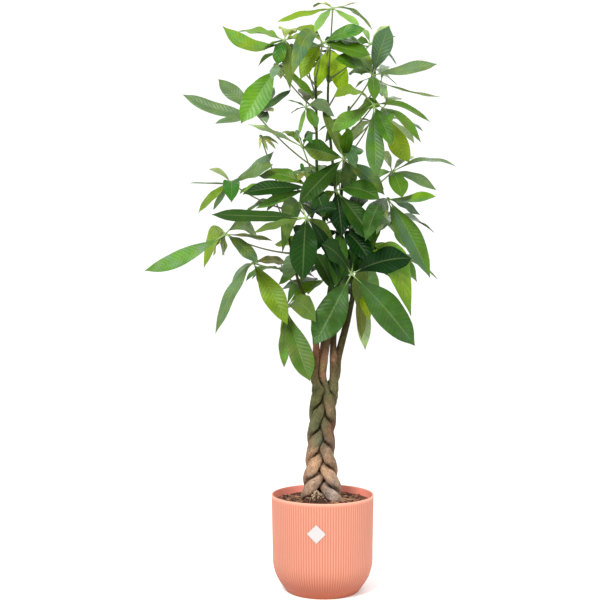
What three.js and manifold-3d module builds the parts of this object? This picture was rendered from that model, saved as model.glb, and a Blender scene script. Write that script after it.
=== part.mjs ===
// Potted money tree: five plaited stems in a ribbed plastic pot, with palmate leaves on long petioles.
// Millimetres, +Z up. The origin is the middle of the pot's flat bottom, and the front faces -Y.
import * as THREE from 'three';
import { mergeVertices } from 'three/addons/utils/BufferGeometryUtils.js';
import Module from 'manifold-3d';

const wasm = await Module();
wasm.setup();

// ---------------------------------------------------------------- driving dimensions

const POT_HEIGHT = 205;
const RIM_RADIUS = 110;
const WALL = 3;
const FLOOR = 5;
const RIB_COUNT = 120;
const RIB_DEPTH = 0.6;
const PLAIN_SIDES = 60;
// Outline of the wall: height and radius of the rib crests, from the flat bottom to under the lip.
const POT_OUTLINE = [[0, 78], [5, 82], [30, 99.6], [55, 107.2], [198, 109.9]];
const LIP_FOOT = 201;
const LIP_ROUND = 1;
const LIP_INNER_ROUND = 0.6;

const LABEL = { angle: -8, z: 142.5, half: 19.5, thickness: 0.6, strips: 6 };

const SOIL_LEVEL = 190;
const SOIL_SIDES = 34;
const SOIL_MOUND = 7;
const SOIL_RELIEF = 1.6;
// Rings of the soil's surface between its edge and its middle, as shares of its radius.
const SOIL_RINGS = [0.8, 0.5];
// How far the edge of the soil lies under its surface.
const SOIL_EDGE_DROP = 2;

const GAP = 0.3;

// The plait: each stem swings across in x and, at twice that rate, in and out in y.
const BRAID_TOP = 430;
const FREE_FROM = 525;
const STEM_FOOT = 130;
const STEM_COUNT = 5;
const STEM_SIDES = 7;
const PLAIT_STATION = 12;
const FREE_STATION = 40;
const PLAIT_CROSSING = 405;
const PLAIT_RATE = 0.0163;
const PLAIT_SLOWING = 2.15e-5;
const STEM_CLEARANCE = 1;
// Level in the soil between a stem's foot and the surface.
const STEM_LOW_STATION = 165;
// A leaning stem's level slice is no longer than this against its width.
const MOST_STRETCH = 1.7;
const LEAN_REACH = 2;
const LEAST_FACING = 0.03;
const LEAST_PRESSED = 1;
const STEM_POINT = 1.5;
const PLAIT_START = 1.25;

// Seen from the front, places in the crown were measured on the plane through the pot's axis.
// A place in front of that plane or behind it slides along its line of sight to this eye point.
const EYE = { x: -48.6, z: 622, distance: 2120 };

const BLADE_THICKNESS = 1.8;
const PETIOLE_RADIUS = 1.9;
const HUB_RADIUS = 5;
const LEAFLET_ROOT = 3;
const LEAST_SLENDERNESS = 0.2;
const LEAFLET_ARCH = 0.1;
const PETIOLE_BOW = 0.1;

// ---------------------------------------------------------------- small helpers

function makeRandom(seed) {
  let state = seed >>> 0;
  return () => {
    state = (state + 0x6d2b79f5) >>> 0;
    let t = Math.imul(state ^ (state >>> 15), 1 | state);
    t = (t + Math.imul(t ^ (t >>> 7), 61 | t)) ^ t;
    return ((t ^ (t >>> 14)) >>> 0) / 4294967296;
  };
}

const lerp = THREE.MathUtils.lerp;
const radians = THREE.MathUtils.degToRad;

// Height-by-height value of a list of [height, value] points, joined by straight lines.
function alongLine(points, z) {
  let i = 1;
  while (i < points.length - 1 && z > points[i][0]) i++;
  const [z0, v0] = points[i - 1];
  const [z1, v1] = points[i];
  return lerp(v0, v1, (z - z0) / (z1 - z0));
}

// The same for points [height, a, b, c], joined by a smooth curve.
function alongCurve(points, z) {
  let i = 1;
  while (i < points.length - 1 && z > points[i][0]) i++;
  const p1 = points[i - 1];
  const p2 = points[i];
  const p0 = points[Math.max(i - 2, 0)];
  const p3 = points[Math.min(i + 1, points.length - 1)];
  const span = p2[0] - p1[0];
  const t = THREE.MathUtils.clamp((z - p1[0]) / span, 0, 1);
  return p1.slice(1).map((v1, k) => {
    const v2 = p2[k + 1];
    const m1 = ((v2 - p0[k + 1]) / (p2[0] - p0[0])) * span;
    const m2 = ((p3[k + 1] - v1) / (p3[0] - p1[0])) * span;
    const t2 = t * t;
    const t3 = t2 * t;
    return (2 * t3 - 3 * t2 + 1) * v1 + (t3 - 2 * t2 + t) * m1 + (3 * t2 - 2 * t3) * v2 + (t3 - t2) * m2;
  });
}

function fromView(gx, gz, y) {
  const k = (EYE.distance + y) / EYE.distance;
  return new THREE.Vector3(EYE.x + (gx - EYE.x) * k, y, EYE.z + (gz - EYE.z) * k);
}

function toView(p) {
  const k = EYE.distance / (EYE.distance + p.y);
  return [EYE.x + (p.x - EYE.x) * k, EYE.z + (p.z - EYE.z) * k];
}

function geometryOf(points, triangles) {
  const geometry = new THREE.BufferGeometry();
  geometry.setAttribute('position', new THREE.Float32BufferAttribute(points.flat(), 3));
  geometry.setIndex(triangles.flat());
  return geometry;
}

function solidOf(geometry) {
  const plain = geometry.clone();
  plain.deleteAttribute('normal');
  plain.deleteAttribute('uv');
  const merged = mergeVertices(plain, 1e-5);
  return new wasm.Manifold(new wasm.Mesh({
    numProp: 3,
    vertProperties: new Float32Array(merged.attributes.position.array),
    triVerts: new Uint32Array(merged.index.array),
  }));
}

function geometryFromSolid(solid) {
  const mesh = solid.getMesh();
  const geometry = new THREE.BufferGeometry();
  geometry.setAttribute('position', new THREE.Float32BufferAttribute(mesh.vertProperties, 3));
  geometry.setIndex(Array.from(mesh.triVerts));
  return geometry;
}

// A band of triangles between two rings, each a list of [angle, vertex index] in rising angle.
// With (lower, upper) the band faces away from the axis.
function band(lower, upper) {
  const triangles = [];
  const turn = 2 * Math.PI;
  const at = (ring, i) => ring[i % ring.length][0] + turn * Math.floor(i / ring.length);
  let i = 0;
  let j = 0;
  while (i < lower.length || j < upper.length) {
    const stepLower = i < lower.length && (j >= upper.length || at(lower, i + 1) <= at(upper, j + 1) + 1e-9);
    const a = lower[i % lower.length][1];
    const b = upper[j % upper.length][1];
    if (stepLower) {
      triangles.push([a, lower[(i + 1) % lower.length][1], b]);
      i++;
    } else {
      triangles.push([a, upper[(j + 1) % upper.length][1], b]);
      j++;
    }
  }
  return triangles;
}

// A solid of revolution given as rings [sides, z, radius(angle)] from its first end to its last,
// closed at both ends by a fan round a middle point. It faces outward when the rings rise outside.
function ringSolid(rings, firstZ, lastZ) {
  const points = [];
  const ringIndex = rings.map(([sides, height, radius]) => {
    const ring = [];
    for (let i = 0; i < sides; i++) {
      const angle = (2 * Math.PI * i) / sides;
      const r = radius(angle, i);
      ring.push([angle, points.length]);
      const z = typeof height === 'function' ? height(angle, i) : height;
      points.push([r * Math.cos(angle), r * Math.sin(angle), z]);
    }
    return ring;
  });
  const triangles = [];
  for (let k = 1; k < ringIndex.length; k++) triangles.push(...band(ringIndex[k - 1], ringIndex[k]));
  const first = points.push([0, 0, firstZ]) - 1;
  const last = points.push([0, 0, lastZ]) - 1;
  const firstRing = ringIndex[0];
  const lastRing = ringIndex[ringIndex.length - 1];
  for (let i = 0; i < firstRing.length; i++) {
    triangles.push([first, firstRing[(i + 1) % firstRing.length][1], firstRing[i][1]]);
  }
  for (let i = 0; i < lastRing.length; i++) {
    triangles.push([last, lastRing[i][1], lastRing[(i + 1) % lastRing.length][1]]);
  }
  return geometryOf(points, triangles);
}

// ---------------------------------------------------------------- pot, label and soil

const wallRadius = (z) => alongLine(POT_OUTLINE, z);
const insideRadius = (z) => wallRadius(z) - WALL;
// Heights at which the outline bends above the foot, from the top down.
const INSIDE_BENDS = [POT_OUTLINE[3][0], POT_OUTLINE[2][0]];

function potGeometry() {
  const ribbed = POT_OUTLINE.slice(2).map(([z, crest]) => [
    2 * RIB_COUNT, z, (angle, i) => (i % 2 ? crest - RIB_DEPTH : crest),
  ]);
  const plain = (z, radius) => [PLAIN_SIDES, z, () => radius];
  const inner = RIM_RADIUS - WALL;
  const rings = [
    plain(...POT_OUTLINE[0]),
    plain(...POT_OUTLINE[1]),
    ...ribbed,
    plain(LIP_FOOT, RIM_RADIUS),
    plain(POT_HEIGHT - LIP_ROUND, RIM_RADIUS),
    plain(POT_HEIGHT, RIM_RADIUS - LIP_ROUND),
    plain(POT_HEIGHT, inner + LIP_INNER_ROUND),
    plain(POT_HEIGHT - LIP_INNER_ROUND, inner),
    ...INSIDE_BENDS.map((z) => plain(z, insideRadius(z))),
    plain(FLOOR, insideRadius(FLOOR)),
  ];
  return ringSolid(rings, 0, FLOOR);
}

function labelGeometry() {
  const points = [];
  const triangles = [];
  const middle = radians(LABEL.angle - 90);
  const place = (across, z, out) => {
    const radius = wallRadius(z) + GAP + out;
    const angle = middle + across / wallRadius(LABEL.z);
    return points.push([radius * Math.cos(angle), radius * Math.sin(angle), z]) - 1;
  };
  const columns = [];
  for (let i = 0; i <= LABEL.strips; i++) {
    const across = lerp(-LABEL.half, LABEL.half, i / LABEL.strips);
    const rise = LABEL.half - Math.abs(across);
    const [face, back] = [LABEL.thickness, 0].map((out) => {
      const low = place(across, LABEL.z - rise, out);
      return { low, high: rise > 1e-6 ? place(across, LABEL.z + rise, out) : low };
    });
    columns.push({ face, back });
  }
  const add = (a, b, c) => {
    if (a !== b && b !== c && c !== a) triangles.push([a, b, c]);
  };
  const quad = (a, b, c, d) => {
    add(a, b, c);
    add(a, c, d);
  };
  for (let i = 1; i < columns.length; i++) {
    const a = columns[i - 1];
    const b = columns[i];
    quad(a.face.low, b.face.low, b.face.high, a.face.high);
    quad(a.back.low, a.back.high, b.back.high, b.back.low);
    quad(a.face.low, a.back.low, b.back.low, b.face.low);
    quad(a.face.high, b.face.high, b.back.high, a.back.high);
  }
  return geometryOf(points, triangles);
}

function soilSolid(holes) {
  const random = makeRandom(41);
  const fit = Math.cos(Math.PI / PLAIN_SIDES);
  const side = (z) => [SOIL_SIDES, z, () => insideRadius(z) * fit - GAP];
  const topRing = (share) => {
    const mound = SOIL_MOUND * (1 - share) ** 1.5;
    return [
      SOIL_SIDES,
      () => SOIL_LEVEL + mound + (random() - 0.5) * 2 * SOIL_RELIEF,
      () => (insideRadius(SOIL_LEVEL) * fit - GAP) * share,
    ];
  };
  const sides = [FLOOR + GAP, ...INSIDE_BENDS.toReversed(), SOIL_LEVEL - SOIL_EDGE_DROP].map(side);
  const rings = [...sides, ...SOIL_RINGS.map(topRing)];
  let soil = solidOf(ringSolid(rings, FLOOR + GAP, SOIL_LEVEL + SOIL_MOUND));
  for (const hole of holes) soil = soil.subtract(hole);
  return soil;
}

// ---------------------------------------------------------------- stems

// Where each stem runs above the plait: [z, x, y, radius].
const STEM_ROUTES = [
  { // left stem, with the thin reddish shoot that carries the lower left leaves
    phase: 4,
    free: [[455, -17, -14, 9.6], [492, -14.5, -12, 8.6], [521, -14, -9, 7.6], [565, -18, -5, 5.8],
      [610, -26, -3, 4], [630, -38, -4, 3.4], [662, -52, -5, 3.2], [705, -62, -6, 3], [750, -71, -6, 2.8],
      [800, -76, -6, 2.6], [832, -78, -6, 2.4]],
  },
  { // comes to the front at the top of the plait and rises as the dark left-hand shoot
    phase: 2,
    free: [[455, -1, -13, 9.4], [492, 3, -15, 8.2], [535, 10, -17, 7], [575, 19, -18, 6], [630, 22, -16, 5],
      [700, 16, -13, 4.2], [790, 3, -10, 3.6], [880, -11, -8, 3.3], [980, -13, -7, 3], [1060, -14, -6, 2.8],
      [1100, -16, -5, 2.6]],
  },
  { // right of the middle, up to the thin petiole of the topmost leaf
    phase: 1,
    free: [[463, 24, -4, 9], [510, 23, 0, 7.8], [544, 24, 4, 6.8], [620, 31, 8, 5.2], [720, 35, 12, 4.2],
      [840, 30, 14, 3.6], [940, 20, 12, 3.1], [1040, 12, 10, 2.7], [1130, 14, 8, 2.3]],
  },
  { // right-hand stem
    phase: 0,
    free: [[458, 29, 13, 9.4], [492, 33, 14, 8.4], [535, 43, 11, 8], [591, 57, 5, 6.8], [638, 65, 0, 5.2],
      [695, 62, -2, 4], [770, 68, 0, 3.4], [830, 78, 3, 3], [860, 84, 4, 2.7]],
  },
  { // stem at the back
    phase: 3,
    free: [[470, -7, 18, 9], [510, 1, 25, 7.8], [560, 6, 31, 6.2], [640, 16, 36, 5], [740, 30, 40, 4.2],
      [850, 42, 38, 3.5], [930, 48, 34, 3.1], [1000, 54, 30, 2.8], [1045, 58, 28, 2.5]],
  },
];

// Where the middle of the plait runs: [z, x, 0, 0].
const PLAIT_AXIS = [[200, -2, 0, 0], [250, -3, 0, 0], [300, -4, 0, 0], [360, -1, 0, 0], [430, 5, 0, 0]];
// Half the swing in x, half the swing in y and the stems' radius at heights up the plait.
const PLAIT_SIZE = [
  [130, 40, 26, 13], [200, 32, 23, 13.6], [240, 26, 20, 13.4], [300, 19, 18, 12.8], [430, 18.5, 17, 11.4],
];

function plaitPlace(phase, z) {
  const rise = Math.max(z, SOIL_LEVEL) - PLAIT_CROSSING;
  const turns = (PLAIT_RATE * rise - PLAIT_SLOWING * rise * rise + phase + PLAIT_START) / STEM_COUNT;
  const angle = 2 * Math.PI * turns;
  const [axis] = alongCurve(PLAIT_AXIS, z);
  const [swing, depth, radius] = alongCurve(PLAIT_SIZE, z);
  return [axis - swing * Math.cos(angle), -depth * Math.sin(2 * angle), radius];
}

const stemPaths = STEM_ROUTES.map(({ phase, free }) => {
  const path = [];
  for (let z = STEM_FOOT; z <= BRAID_TOP; z += PLAIT_STATION) path.push([z, ...plaitPlace(phase, z)]);
  return [...path, ...free];
});

function stemStations(path) {
  const top = path[path.length - 1][0];
  const stations = [STEM_FOOT, STEM_LOW_STATION];
  for (let z = SOIL_LEVEL; z <= FREE_FROM; z += PLAIT_STATION) stations.push(z);
  const rest = top - stations[stations.length - 1];
  const steps = Math.round(rest / FREE_STATION);
  const last = stations[stations.length - 1];
  for (let i = 1; i <= steps; i++) stations.push(last + (rest * i) / steps);
  return stations;
}

// Level slice of one stem: round across its own run, and pressed flat against its neighbours.
function stemSlice(index, z, grow) {
  const path = stemPaths[index];
  const [x, y, radius] = alongCurve(path, z);
  const [xa, ya] = alongCurve(path, z - LEAN_REACH);
  const [xb, yb] = alongCurve(path, z + LEAN_REACH);
  const lean = new THREE.Vector2(xb - xa, yb - ya).divideScalar(2 * LEAN_REACH);
  const stretch = Math.min(Math.hypot(1, lean.length()), MOST_STRETCH);
  const leanAngle = Math.atan2(lean.y, lean.x);
  const planes = [];
  stemPaths.forEach((other, k) => {
    if (k === index || z < SOIL_LEVEL - 1 || z > FREE_FROM) return;
    for (const dz of [-PLAIT_STATION / 2, 0, PLAIT_STATION / 2]) {
      const [sx, sy, sr] = alongCurve(path, z + dz);
      const [ox, oy, or] = alongCurve(other, z + dz);
      const facing = new THREE.Vector2(ox - sx, oy - sy);
      const share = facing.length() * (sr / (sr + or)) - STEM_CLEARANCE / 2;
      facing.normalize();
      planes.push({ facing, reach: facing.dot(new THREE.Vector2(sx - x, sy - y)) + share });
    }
  });
  const points = [];
  for (let i = 0; i < STEM_SIDES; i++) {
    const angle = (2 * Math.PI * (i + 0.5)) / STEM_SIDES;
    const out = new THREE.Vector2(Math.cos(angle), Math.sin(angle));
    const along = Math.cos(angle - leanAngle) / stretch;
    const across = Math.sin(angle - leanAngle);
    let r = radius / Math.hypot(along, across);
    for (const plane of planes) {
      const facing = out.dot(plane.facing);
      if (facing > LEAST_FACING) r = Math.min(r, Math.max(plane.reach, LEAST_PRESSED) / facing);
    }
    points.push([x + (r + grow) * out.x, y + (r + grow) * out.y, z]);
  }
  return { points, middle: [x, y, z] };
}

function stemSolid(index, grow = 0) {
  const stations = stemStations(stemPaths[index]);
  const points = [];
  const triangles = [];
  const slices = stations.map((z) => stemSlice(index, z, grow));
  const ends = [slices[0].middle, slices[slices.length - 1].middle];
  slices.forEach((slice) => points.push(...slice.points));
  const foot = points.push([ends[0][0], ends[0][1], STEM_FOOT - grow]) - 1;
  const tip = points.push([ends[1][0], ends[1][1], ends[1][2] + grow + STEM_POINT]) - 1;
  const n = STEM_SIDES;
  for (let i = 0; i < n; i++) {
    const j = (i + 1) % n;
    triangles.push([foot, j, i]);
    for (let k = 1; k < slices.length; k++) {
      const a = (k - 1) * n;
      const b = k * n;
      triangles.push([a + i, a + j, b + j], [a + i, b + j, b + i]);
    }
    const t = (slices.length - 1) * n;
    triangles.push([tip, t + i, t + j]);
  }
  return solidOf(geometryOf(points, triangles));
}

// ---------------------------------------------------------------- leaves

// One row per leaf: the stem that carries it, the height where its petiole leaves that stem, its hub
// [x, z, depth] and its leaflets [x, z, depth from the hub, width, facing, arch], x and z of each tip
// as seen from the front. Facing turns the blade from upper face up, at 0, to upper face frontward, at
// 10, or underside frontward, at -10. Arch is the rise of the midrib over its length.
const LEAVES = [
  // the topmost leaf and the crown of the left-hand shoot
  { stem: 3, at: 1128, hub: [22, 1251, 8], tips: [
    [-98, 1221, -20, 13, 5, 0.02], [-20, 1252, 85, 14, 2], [-18, 1196, -60, 18, 6, 0.08],
    [80, 1214, -55, 16, 6, 0], [109, 1202, 25, 9, 0, 0.18], [78, 1264, 50, 9, 0, 0],
  ] },
  { stem: 2, at: 1094, hub: [0, 1176, -50], tips: [
    [92, 1207, -30, 32, 7, 0.06], [-54, 1210, 40, 30, 6], [-66, 1102, -60, 36, 8, 0.4],
    [100, 1165, 30, 36, 4], [-48, 1096, 30, 32, 7], [104, 1150, -10, 36, 6, 0],
  ] },
  { stem: 3, at: 1080, hub: [12, 1165, 50], tips: [
    [-12, 1078, 10, 30, -9, 0.05], [48, 1060, 20, 40, -9], [70, 1150, 70, 34, 4], [-60, 1150, 60, 30, 4],
    [20, 1190, 80, 24, 3],
  ] },
  { stem: 2, at: 1084, hub: [-82, 1182, 0], tips: [
    [-216, 1213, -20, 36, 6, -0.18], [-182, 1201, 60, 26, 3, 0.03], [-128, 1158, -60, 20, 3],
    [-98, 1128, -60, 30, 8], [-70, 1074, -30, 26, 8, 0.25], [-25, 1178, -60, 26, 4],
    [-70, 1190, 70, 20, 6],
  ] },
  { stem: 2, at: 1030, hub: [-97, 1125, -60], tips: [
    [-176, 1002, -50, 54, 9, 0.02], [-58, 1092, 60, 24, 6, 0.05], [-90, 1098, 80, 22, 3],
    [-14, 1056, 70, 24, 6, 0.02], [-108, 1098, -80, 20, 3],
  ] },
  { stem: 2, at: 903, hub: [-142, 1022, -10], tips: [
    [-302, 1065, 10, 32, 7, -0.07], [-225, 1098, 60, 34, 8, 0], [-232, 1002, -30, 20, 5, 0],
    [-68, 1075, 20, 20, 4, 0], [-104, 1081, 70, 16, 7, 0], [-106, 1028, -70, 14, 3, 0.05],
    [-120, 1002, -60, 20, 4],
  ] },
  { stem: 2, at: 985, hub: [-36, 1038, -20], tips: [
    [-79, 1053, 10, 8, 2, 0.05], [-52, 975, -10, 10, 6, 0], [-12, 992, -40, 24, 8], [-22, 1053, 30, 8, 2],
    [-70, 1022, -20, 6, 2], [26, 1016, 40, 30, 8, 0.2],
  ] },
  { stem: 2, at: 868, hub: [-43, 952, -30], tips: [
    [-162, 1001, -10, 14, 4, 0.03], [-88, 984, 30, 13, 4], [-13, 979, 30, 15, 4, 0.15],
    [-22, 958, -40, 20, 7, 0.2], [-62, 968, -50, 20, 7, 0.2],
  ] },
  { stem: 1, at: 828, hub: [-133, 975, -20], tips: [
    [-136, 946, -8, 5, 7], [-118, 943, 0, 6, 7], [-100, 946, 4, 6, 7], [-94, 957, 8, 5, 6],
  ] },
  { stem: 1, at: 816, hub: [-196, 873, -20], tips: [
    [-288, 874, -10, 9, 2, 0], [-246, 904, 50, 12, 4], [-268, 809, -20, 17, 7],
    [-236, 815, 40, 14, 7, 0.06], [-196, 832, -90, 38, 7, 0.2], [-104, 943, 30, 26, 6, -0.05],
    [-106, 914, -30, 26, 6, 0.03],
  ] },
  // the middle of the crown
  { stem: 2, at: 800, hub: [-25, 862, -60], tips: [
    [-172, 851, -20, 34, 6, 0.05], [-138, 889, 40, 34, 6, 0.12], [-144, 819, 10, 18, 6, 0.03],
    [5, 800, -40, 36, 7, 0.2], [35, 872, 60, 30, 6],
  ] },
  { stem: 2, at: 735, hub: [-36, 799, -110], tips: [
    [-240, 806, 10, 30, 5, 0], [-43, 661, -50, 58, 9, 0.12], [40, 661, -20, 26, 6, 0.12],
    [26, 706, 20, 40, 7], [-87, 722, 40, 44, 8, 0.35], [30, 818, -20, 32, 4],
    [-150, 766, -10, 18, 4, 0.03],
  ] },
  { stem: 5, at: 872, hub: [46, 926, -30], tips: [
    [-42, 951, -30, 46, 7, 0.02], [57, 993, -20, 28, 8, 0], [84, 948, 40, 34, 6, 0.05],
    [72, 904, -80, 26, 6, 0.2], [134, 848, -20, 36, 7, 0.06], [-52, 828, -50, 44, 8, 0.03],
    [62, 846, 20, 36, 7], [0, 1036, 30, 18, 6, 0], [26, 992, 10, 24, 7, 0],
  ] },
  { stem: 3, at: 795, hub: [29, 858, -70], tips: [
    [124, 838, 0, 44, 6, 0.12], [115, 744, -30, 46, 7, 0.02], [-14, 815, 10, 28, 7], [42, 756, 20, 42, 7],
    [30, 900, 80, 24, 3],
  ] },
  // right side
  { stem: 5, at: 1036, hub: [108, 1107, -20], tips: [
    [143, 1213, -20, 46, 8, 0.02], [248, 1131, -10, 30, 6, 0], [26, 1141, -20, 36, 6],
    [58, 1112, 30, 36, 7], [112, 1050, -80, 26, 6], [76, 1160, 20, 30, 6, 0.05],
  ] },
  { stem: 5, at: 1018, hub: [126, 1092, 70], tips: [
    [258, 1059, 30, 9, 1, -0.04], [140, 1049, 0, 13, 7, 0.02], [128, 1060, -40, 26, 7, 0.05],
    [138, 1126, 60, 20, 6], [70, 1078, 40, 18, 3, 0.15],
  ] },
  { stem: 3, at: 1100, hub: [103, 1174, 70], tips: [
    [146, 1214, 30, 26, 7, 0], [158, 1190, -20, 16, 4, 0.05], [62, 1172, 40, 26, 6],
    [160, 1129, 70, 20, 6, 0.12], [84, 1206, 60, 14, 3],
  ] },
  { stem: 5, at: 985, hub: [110, 1043, -60], tips: [
    [24, 1058, -10, 28, 5, 0.2], [18, 984, -30, 34, 7, 0.02], [115, 886, -40, 38, 9, 0],
    [150, 952, -40, 30, 8, 0.04], [232, 1005, -10, 18, 5, 0.13],
  ] },
  { stem: 5, at: 958, hub: [130, 1035, 10], tips: [
    [187, 918, -10, 44, 8, -0.08], [213, 960, 30, 20, 7, 0.14], [74, 1018, 30, 36, 7, 0.2],
    [146, 1002, -50, 28, 7], [170, 1055, 80, 24, 3],
  ] },
  { stem: 4, at: 848, hub: [150, 898, -20], tips: [
    [289, 909, -10, 20, 3, 0.14], [246, 858, 20, 24, 7, 0.08], [172, 842, -30, 40, 7, 0.1],
    [126, 943, 30, 22, 7], [96, 868, 60, 24, 6], [200, 930, 90, 20, 3],
  ] },
  { stem: 4, at: 800, hub: [141, 840, -70], tips: [
    [245, 845, -20, 30, 5, -0.02], [211, 805, 30, 22, 6, 0.05], [232, 669, -20, 44, 8, 0.06],
    [184, 730, 20, 28, 8, -0.05], [116, 763, 20, 28, 7], [92, 748, -40, 34, 7, 0.12],
  ] },
  // lower left
  { stem: 1, at: 722, hub: [-209, 764, -10], tips: [
    [-384, 685, -20, 33, 7, -0.04], [-256, 690, 10, 30, 7, 0.2], [-236, 716, 50, 18, 6],
    [-134, 745, 40, 20, 7, 0.16], [-106, 749, -20, 12, 3, 0.02], [-138, 700, -40, 28, 7, 0.05],
    [-216, 718, 30, 24, 6, 0.05],
  ] },
  { stem: 1, at: 688, hub: [-150, 702, -20], tips: [
    [-231, 549, -30, 28, 5, 0.12], [-75, 568, -40, 46, 8, 0.05], [-77, 702, 20, 20, 6, 0.05],
    [-199, 642, 70, 20, 6, 0.1], [-112, 620, 60, 22, 7, 0.06],
  ] },
  { stem: 1, at: 622, hub: [-78, 606, -30], tips: [
    [-27, 447, -40, 50, 8, -0.05], [-83, 476, 10, 24, 7, 0], [-14, 574, -30, 44, 8, 0.15],
    [2, 662, 30, 18, 6], [-80, 528, 50, 24, 7, 0.05], [-46, 668, 60, 20, 6],
  ] },
  // lower right
  { stem: 4, at: 690, hub: [62, 678, -60], tips: [
    [-18, 524, -30, 64, 9, 0], [199, 523, -20, 66, 8, 0.04], [194, 712, 20, 54, 7, 0.07],
    [84, 770, 30, 34, 5], [-2, 742, -20, 44, 6],
  ] },
  { stem: 4, at: 672, hub: [82, 664, 10], tips: [
    [84, 538, 10, 16, 4, 0.05], [101, 577, -50, 28, 7], [92, 514, 40, 30, 8, 0.05], [120, 690, 40, 30, 7],
    [20, 640, 60, 26, 6],
  ] },
  // among the stems, in the shade of the leaves before them
  { stem: 3, at: 705, hub: [42, 772, -20], tips: [
    [-62, 704, -20, 40, 7], [104, 702, -30, 44, 7], [146, 788, 30, 36, 5], [28, 648, -20, 40, 8],
    [96, 846, 40, 34, 6], [-30, 836, 50, 34, 6],
  ] },
  { stem: 2, at: 652, hub: [-22, 726, -20], tips: [
    [-86, 670, -20, 38, 6], [-104, 742, 30, 30, 5], [24, 640, -30, 36, 7], [-58, 784, 40, 34, 5],
    [-95, 655, 40, 26, 6, 0],
  ] },
  { stem: 4, at: 742, hub: [100, 748, 20], tips: [
    [190, 700, -20, 42, 6, 0], [152, 668, -30, 36, 7], [72, 676, 20, 40, 7], [150, 800, 40, 34, 6],
    [70, 820, 50, 34, 6],
  ] },
  { stem: 4, at: 640, hub: [96, 706, -20], tips: [
    [191, 586, -20, 56, 7, 0.5], [72, 612, 0, 32, 8], [110, 790, 40, 38, 6], [34, 718, 0, 30, 6],
    [112, 600, 40, 34, 7],
  ] },
  { stem: 2, at: 860, hub: [-42, 896, -40], tips: [
    [-68, 892, 10, 11, 6], [-46, 917, 12, 9, 7], [-21, 907, 12, 11, 7], [-52, 879, -16, 13, 7],
    [-26, 884, -12, 11, 7],
  ] },
];

// The leaflets of one leaf are of like length, so one that shows short points away or to the front.
const EVEN_LENGTH = 0.72;
const LONGEST_LEAFLET = 190;
const SHORTEST_REACH = 40;
const CROWN_DEPTH = 235;

// Leaves of the far side, made by rule: their leaflets stand evenly round the hub and droop outward.
const FAR_LEAVES = [
  { stem: 3, at: 1040, hub: [50, 1126, 150], count: 6, length: 112 },
  { stem: 2, at: 1062, hub: [-38, 1152, 120], count: 6, length: 94 },
  { stem: 5, at: 930, hub: [104, 1008, 150], count: 6, length: 118 },
  { stem: 5, at: 845, hub: [34, 900, 160], count: 5, length: 126 },
  { stem: 4, at: 770, hub: [108, 800, 140], count: 6, length: 118 },
  { stem: 4, at: 730, hub: [100, 716, 130], count: 6, length: 132 },
  { stem: 2, at: 770, hub: [-58, 830, 126], count: 6, length: 100 },
  { stem: 1, at: 780, hub: [-112, 866, 100], count: 5, length: 84 },
  { stem: 5, at: 700, hub: [-6, 662, 146], count: 5, length: 120 },
  { stem: 1, at: 655, hub: [-92, 690, 90], count: 5, length: 84 },
];

const FAR_DROOP = 0.28;
const FAR_WIDTH = 0.27;

function farTips({ hub, count, length }, seed) {
  const random = makeRandom(seed);
  const start = random();
  const tips = [];
  for (let i = 0; i < count; i++) {
    const angle = (2 * Math.PI * (i + start)) / count + (random() - 0.5) * 0.25;
    const reach = length * (0.85 + 0.3 * random());
    const fall = FAR_DROOP * (0.6 + 0.8 * random());
    tips.push([hub[0] + reach * Math.cos(angle), hub[1] - reach * fall, reach * Math.sin(angle),
      FAR_WIDTH * reach, 2, 0.14]);
  }
  return tips;
}

const leaves = [
  ...LEAVES,
  ...FAR_LEAVES.map((leaf, i) => ({ ...leaf, tips: farTips(leaf, 100 + i) })),
].map((leaf) => {
  const shown = ([x, z]) => Math.hypot(x - leaf.hub[0], z - leaf.hub[1]);
  const least = EVEN_LENGTH * Math.max(...leaf.tips.map(shown));
  return {
    stem: leaf.stem - 1,
    at: leaf.at,
    hubView: leaf.hub.slice(0, 2),
    hubDepth: leaf.hub[2],
    leaflets: leaf.tips.map((tip) => {
      const [x, z, depth, width, face, arch = LEAFLET_ARCH] = tip;
      const hidden = Math.sqrt(Math.max(least ** 2 - shown(tip) ** 2, 0));
      const reach = Math.sign(depth) * Math.max(Math.abs(depth), hidden);
      const limit = Math.sqrt(Math.max(LONGEST_LEAFLET ** 2 - shown(tip) ** 2, SHORTEST_REACH ** 2));
      return { view: [x, z], depth: leaf.hub[2] + reach, limit, width, face: face / 10, arch };
    }),
  };
});

const hubPoint = (leaf) => fromView(...leaf.hubView, leaf.hubDepth);

function bezier(p0, p1, p2, t) {
  return new THREE.Vector3()
    .addScaledVector(p0, (1 - t) ** 2)
    .addScaledVector(p1, 2 * t * (1 - t))
    .addScaledVector(p2, t * t);
}

function bezierTangent(p0, p1, p2, t) {
  return new THREE.Vector3()
    .addScaledVector(p1.clone().sub(p0), 2 * (1 - t))
    .addScaledVector(p2.clone().sub(p1), 2 * t)
    .normalize();
}

const UP = new THREE.Vector3(0, 0, 1);
const TO_FRONT = new THREE.Vector3(0, -1, 0);

// Share of the length and of the width at each cross-section of a leaflet: neck, then blade.
const BROAD_SECTIONS = [[0.1, 0], [0.34, 0.68], [0.6, 1], [0.84, 0.7]];
const SLIM_SECTIONS = [[0.1, 0], [0.42, 1], [0.75, 0.8]];
const SLIM_WIDTH = 15;
const NECK = { half: 1.4, thick: 2.2 };
const sectionsOf = (leaflet) => (leaflet.width > SLIM_WIDTH ? BROAD_SECTIONS : SLIM_SECTIONS);

// The direction nearest to a wanted one that stands square to the run of a leaflet.
function acrossRun(wanted, run) {
  return wanted.clone().addScaledVector(run, -wanted.dot(run)).normalize();
}

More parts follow.
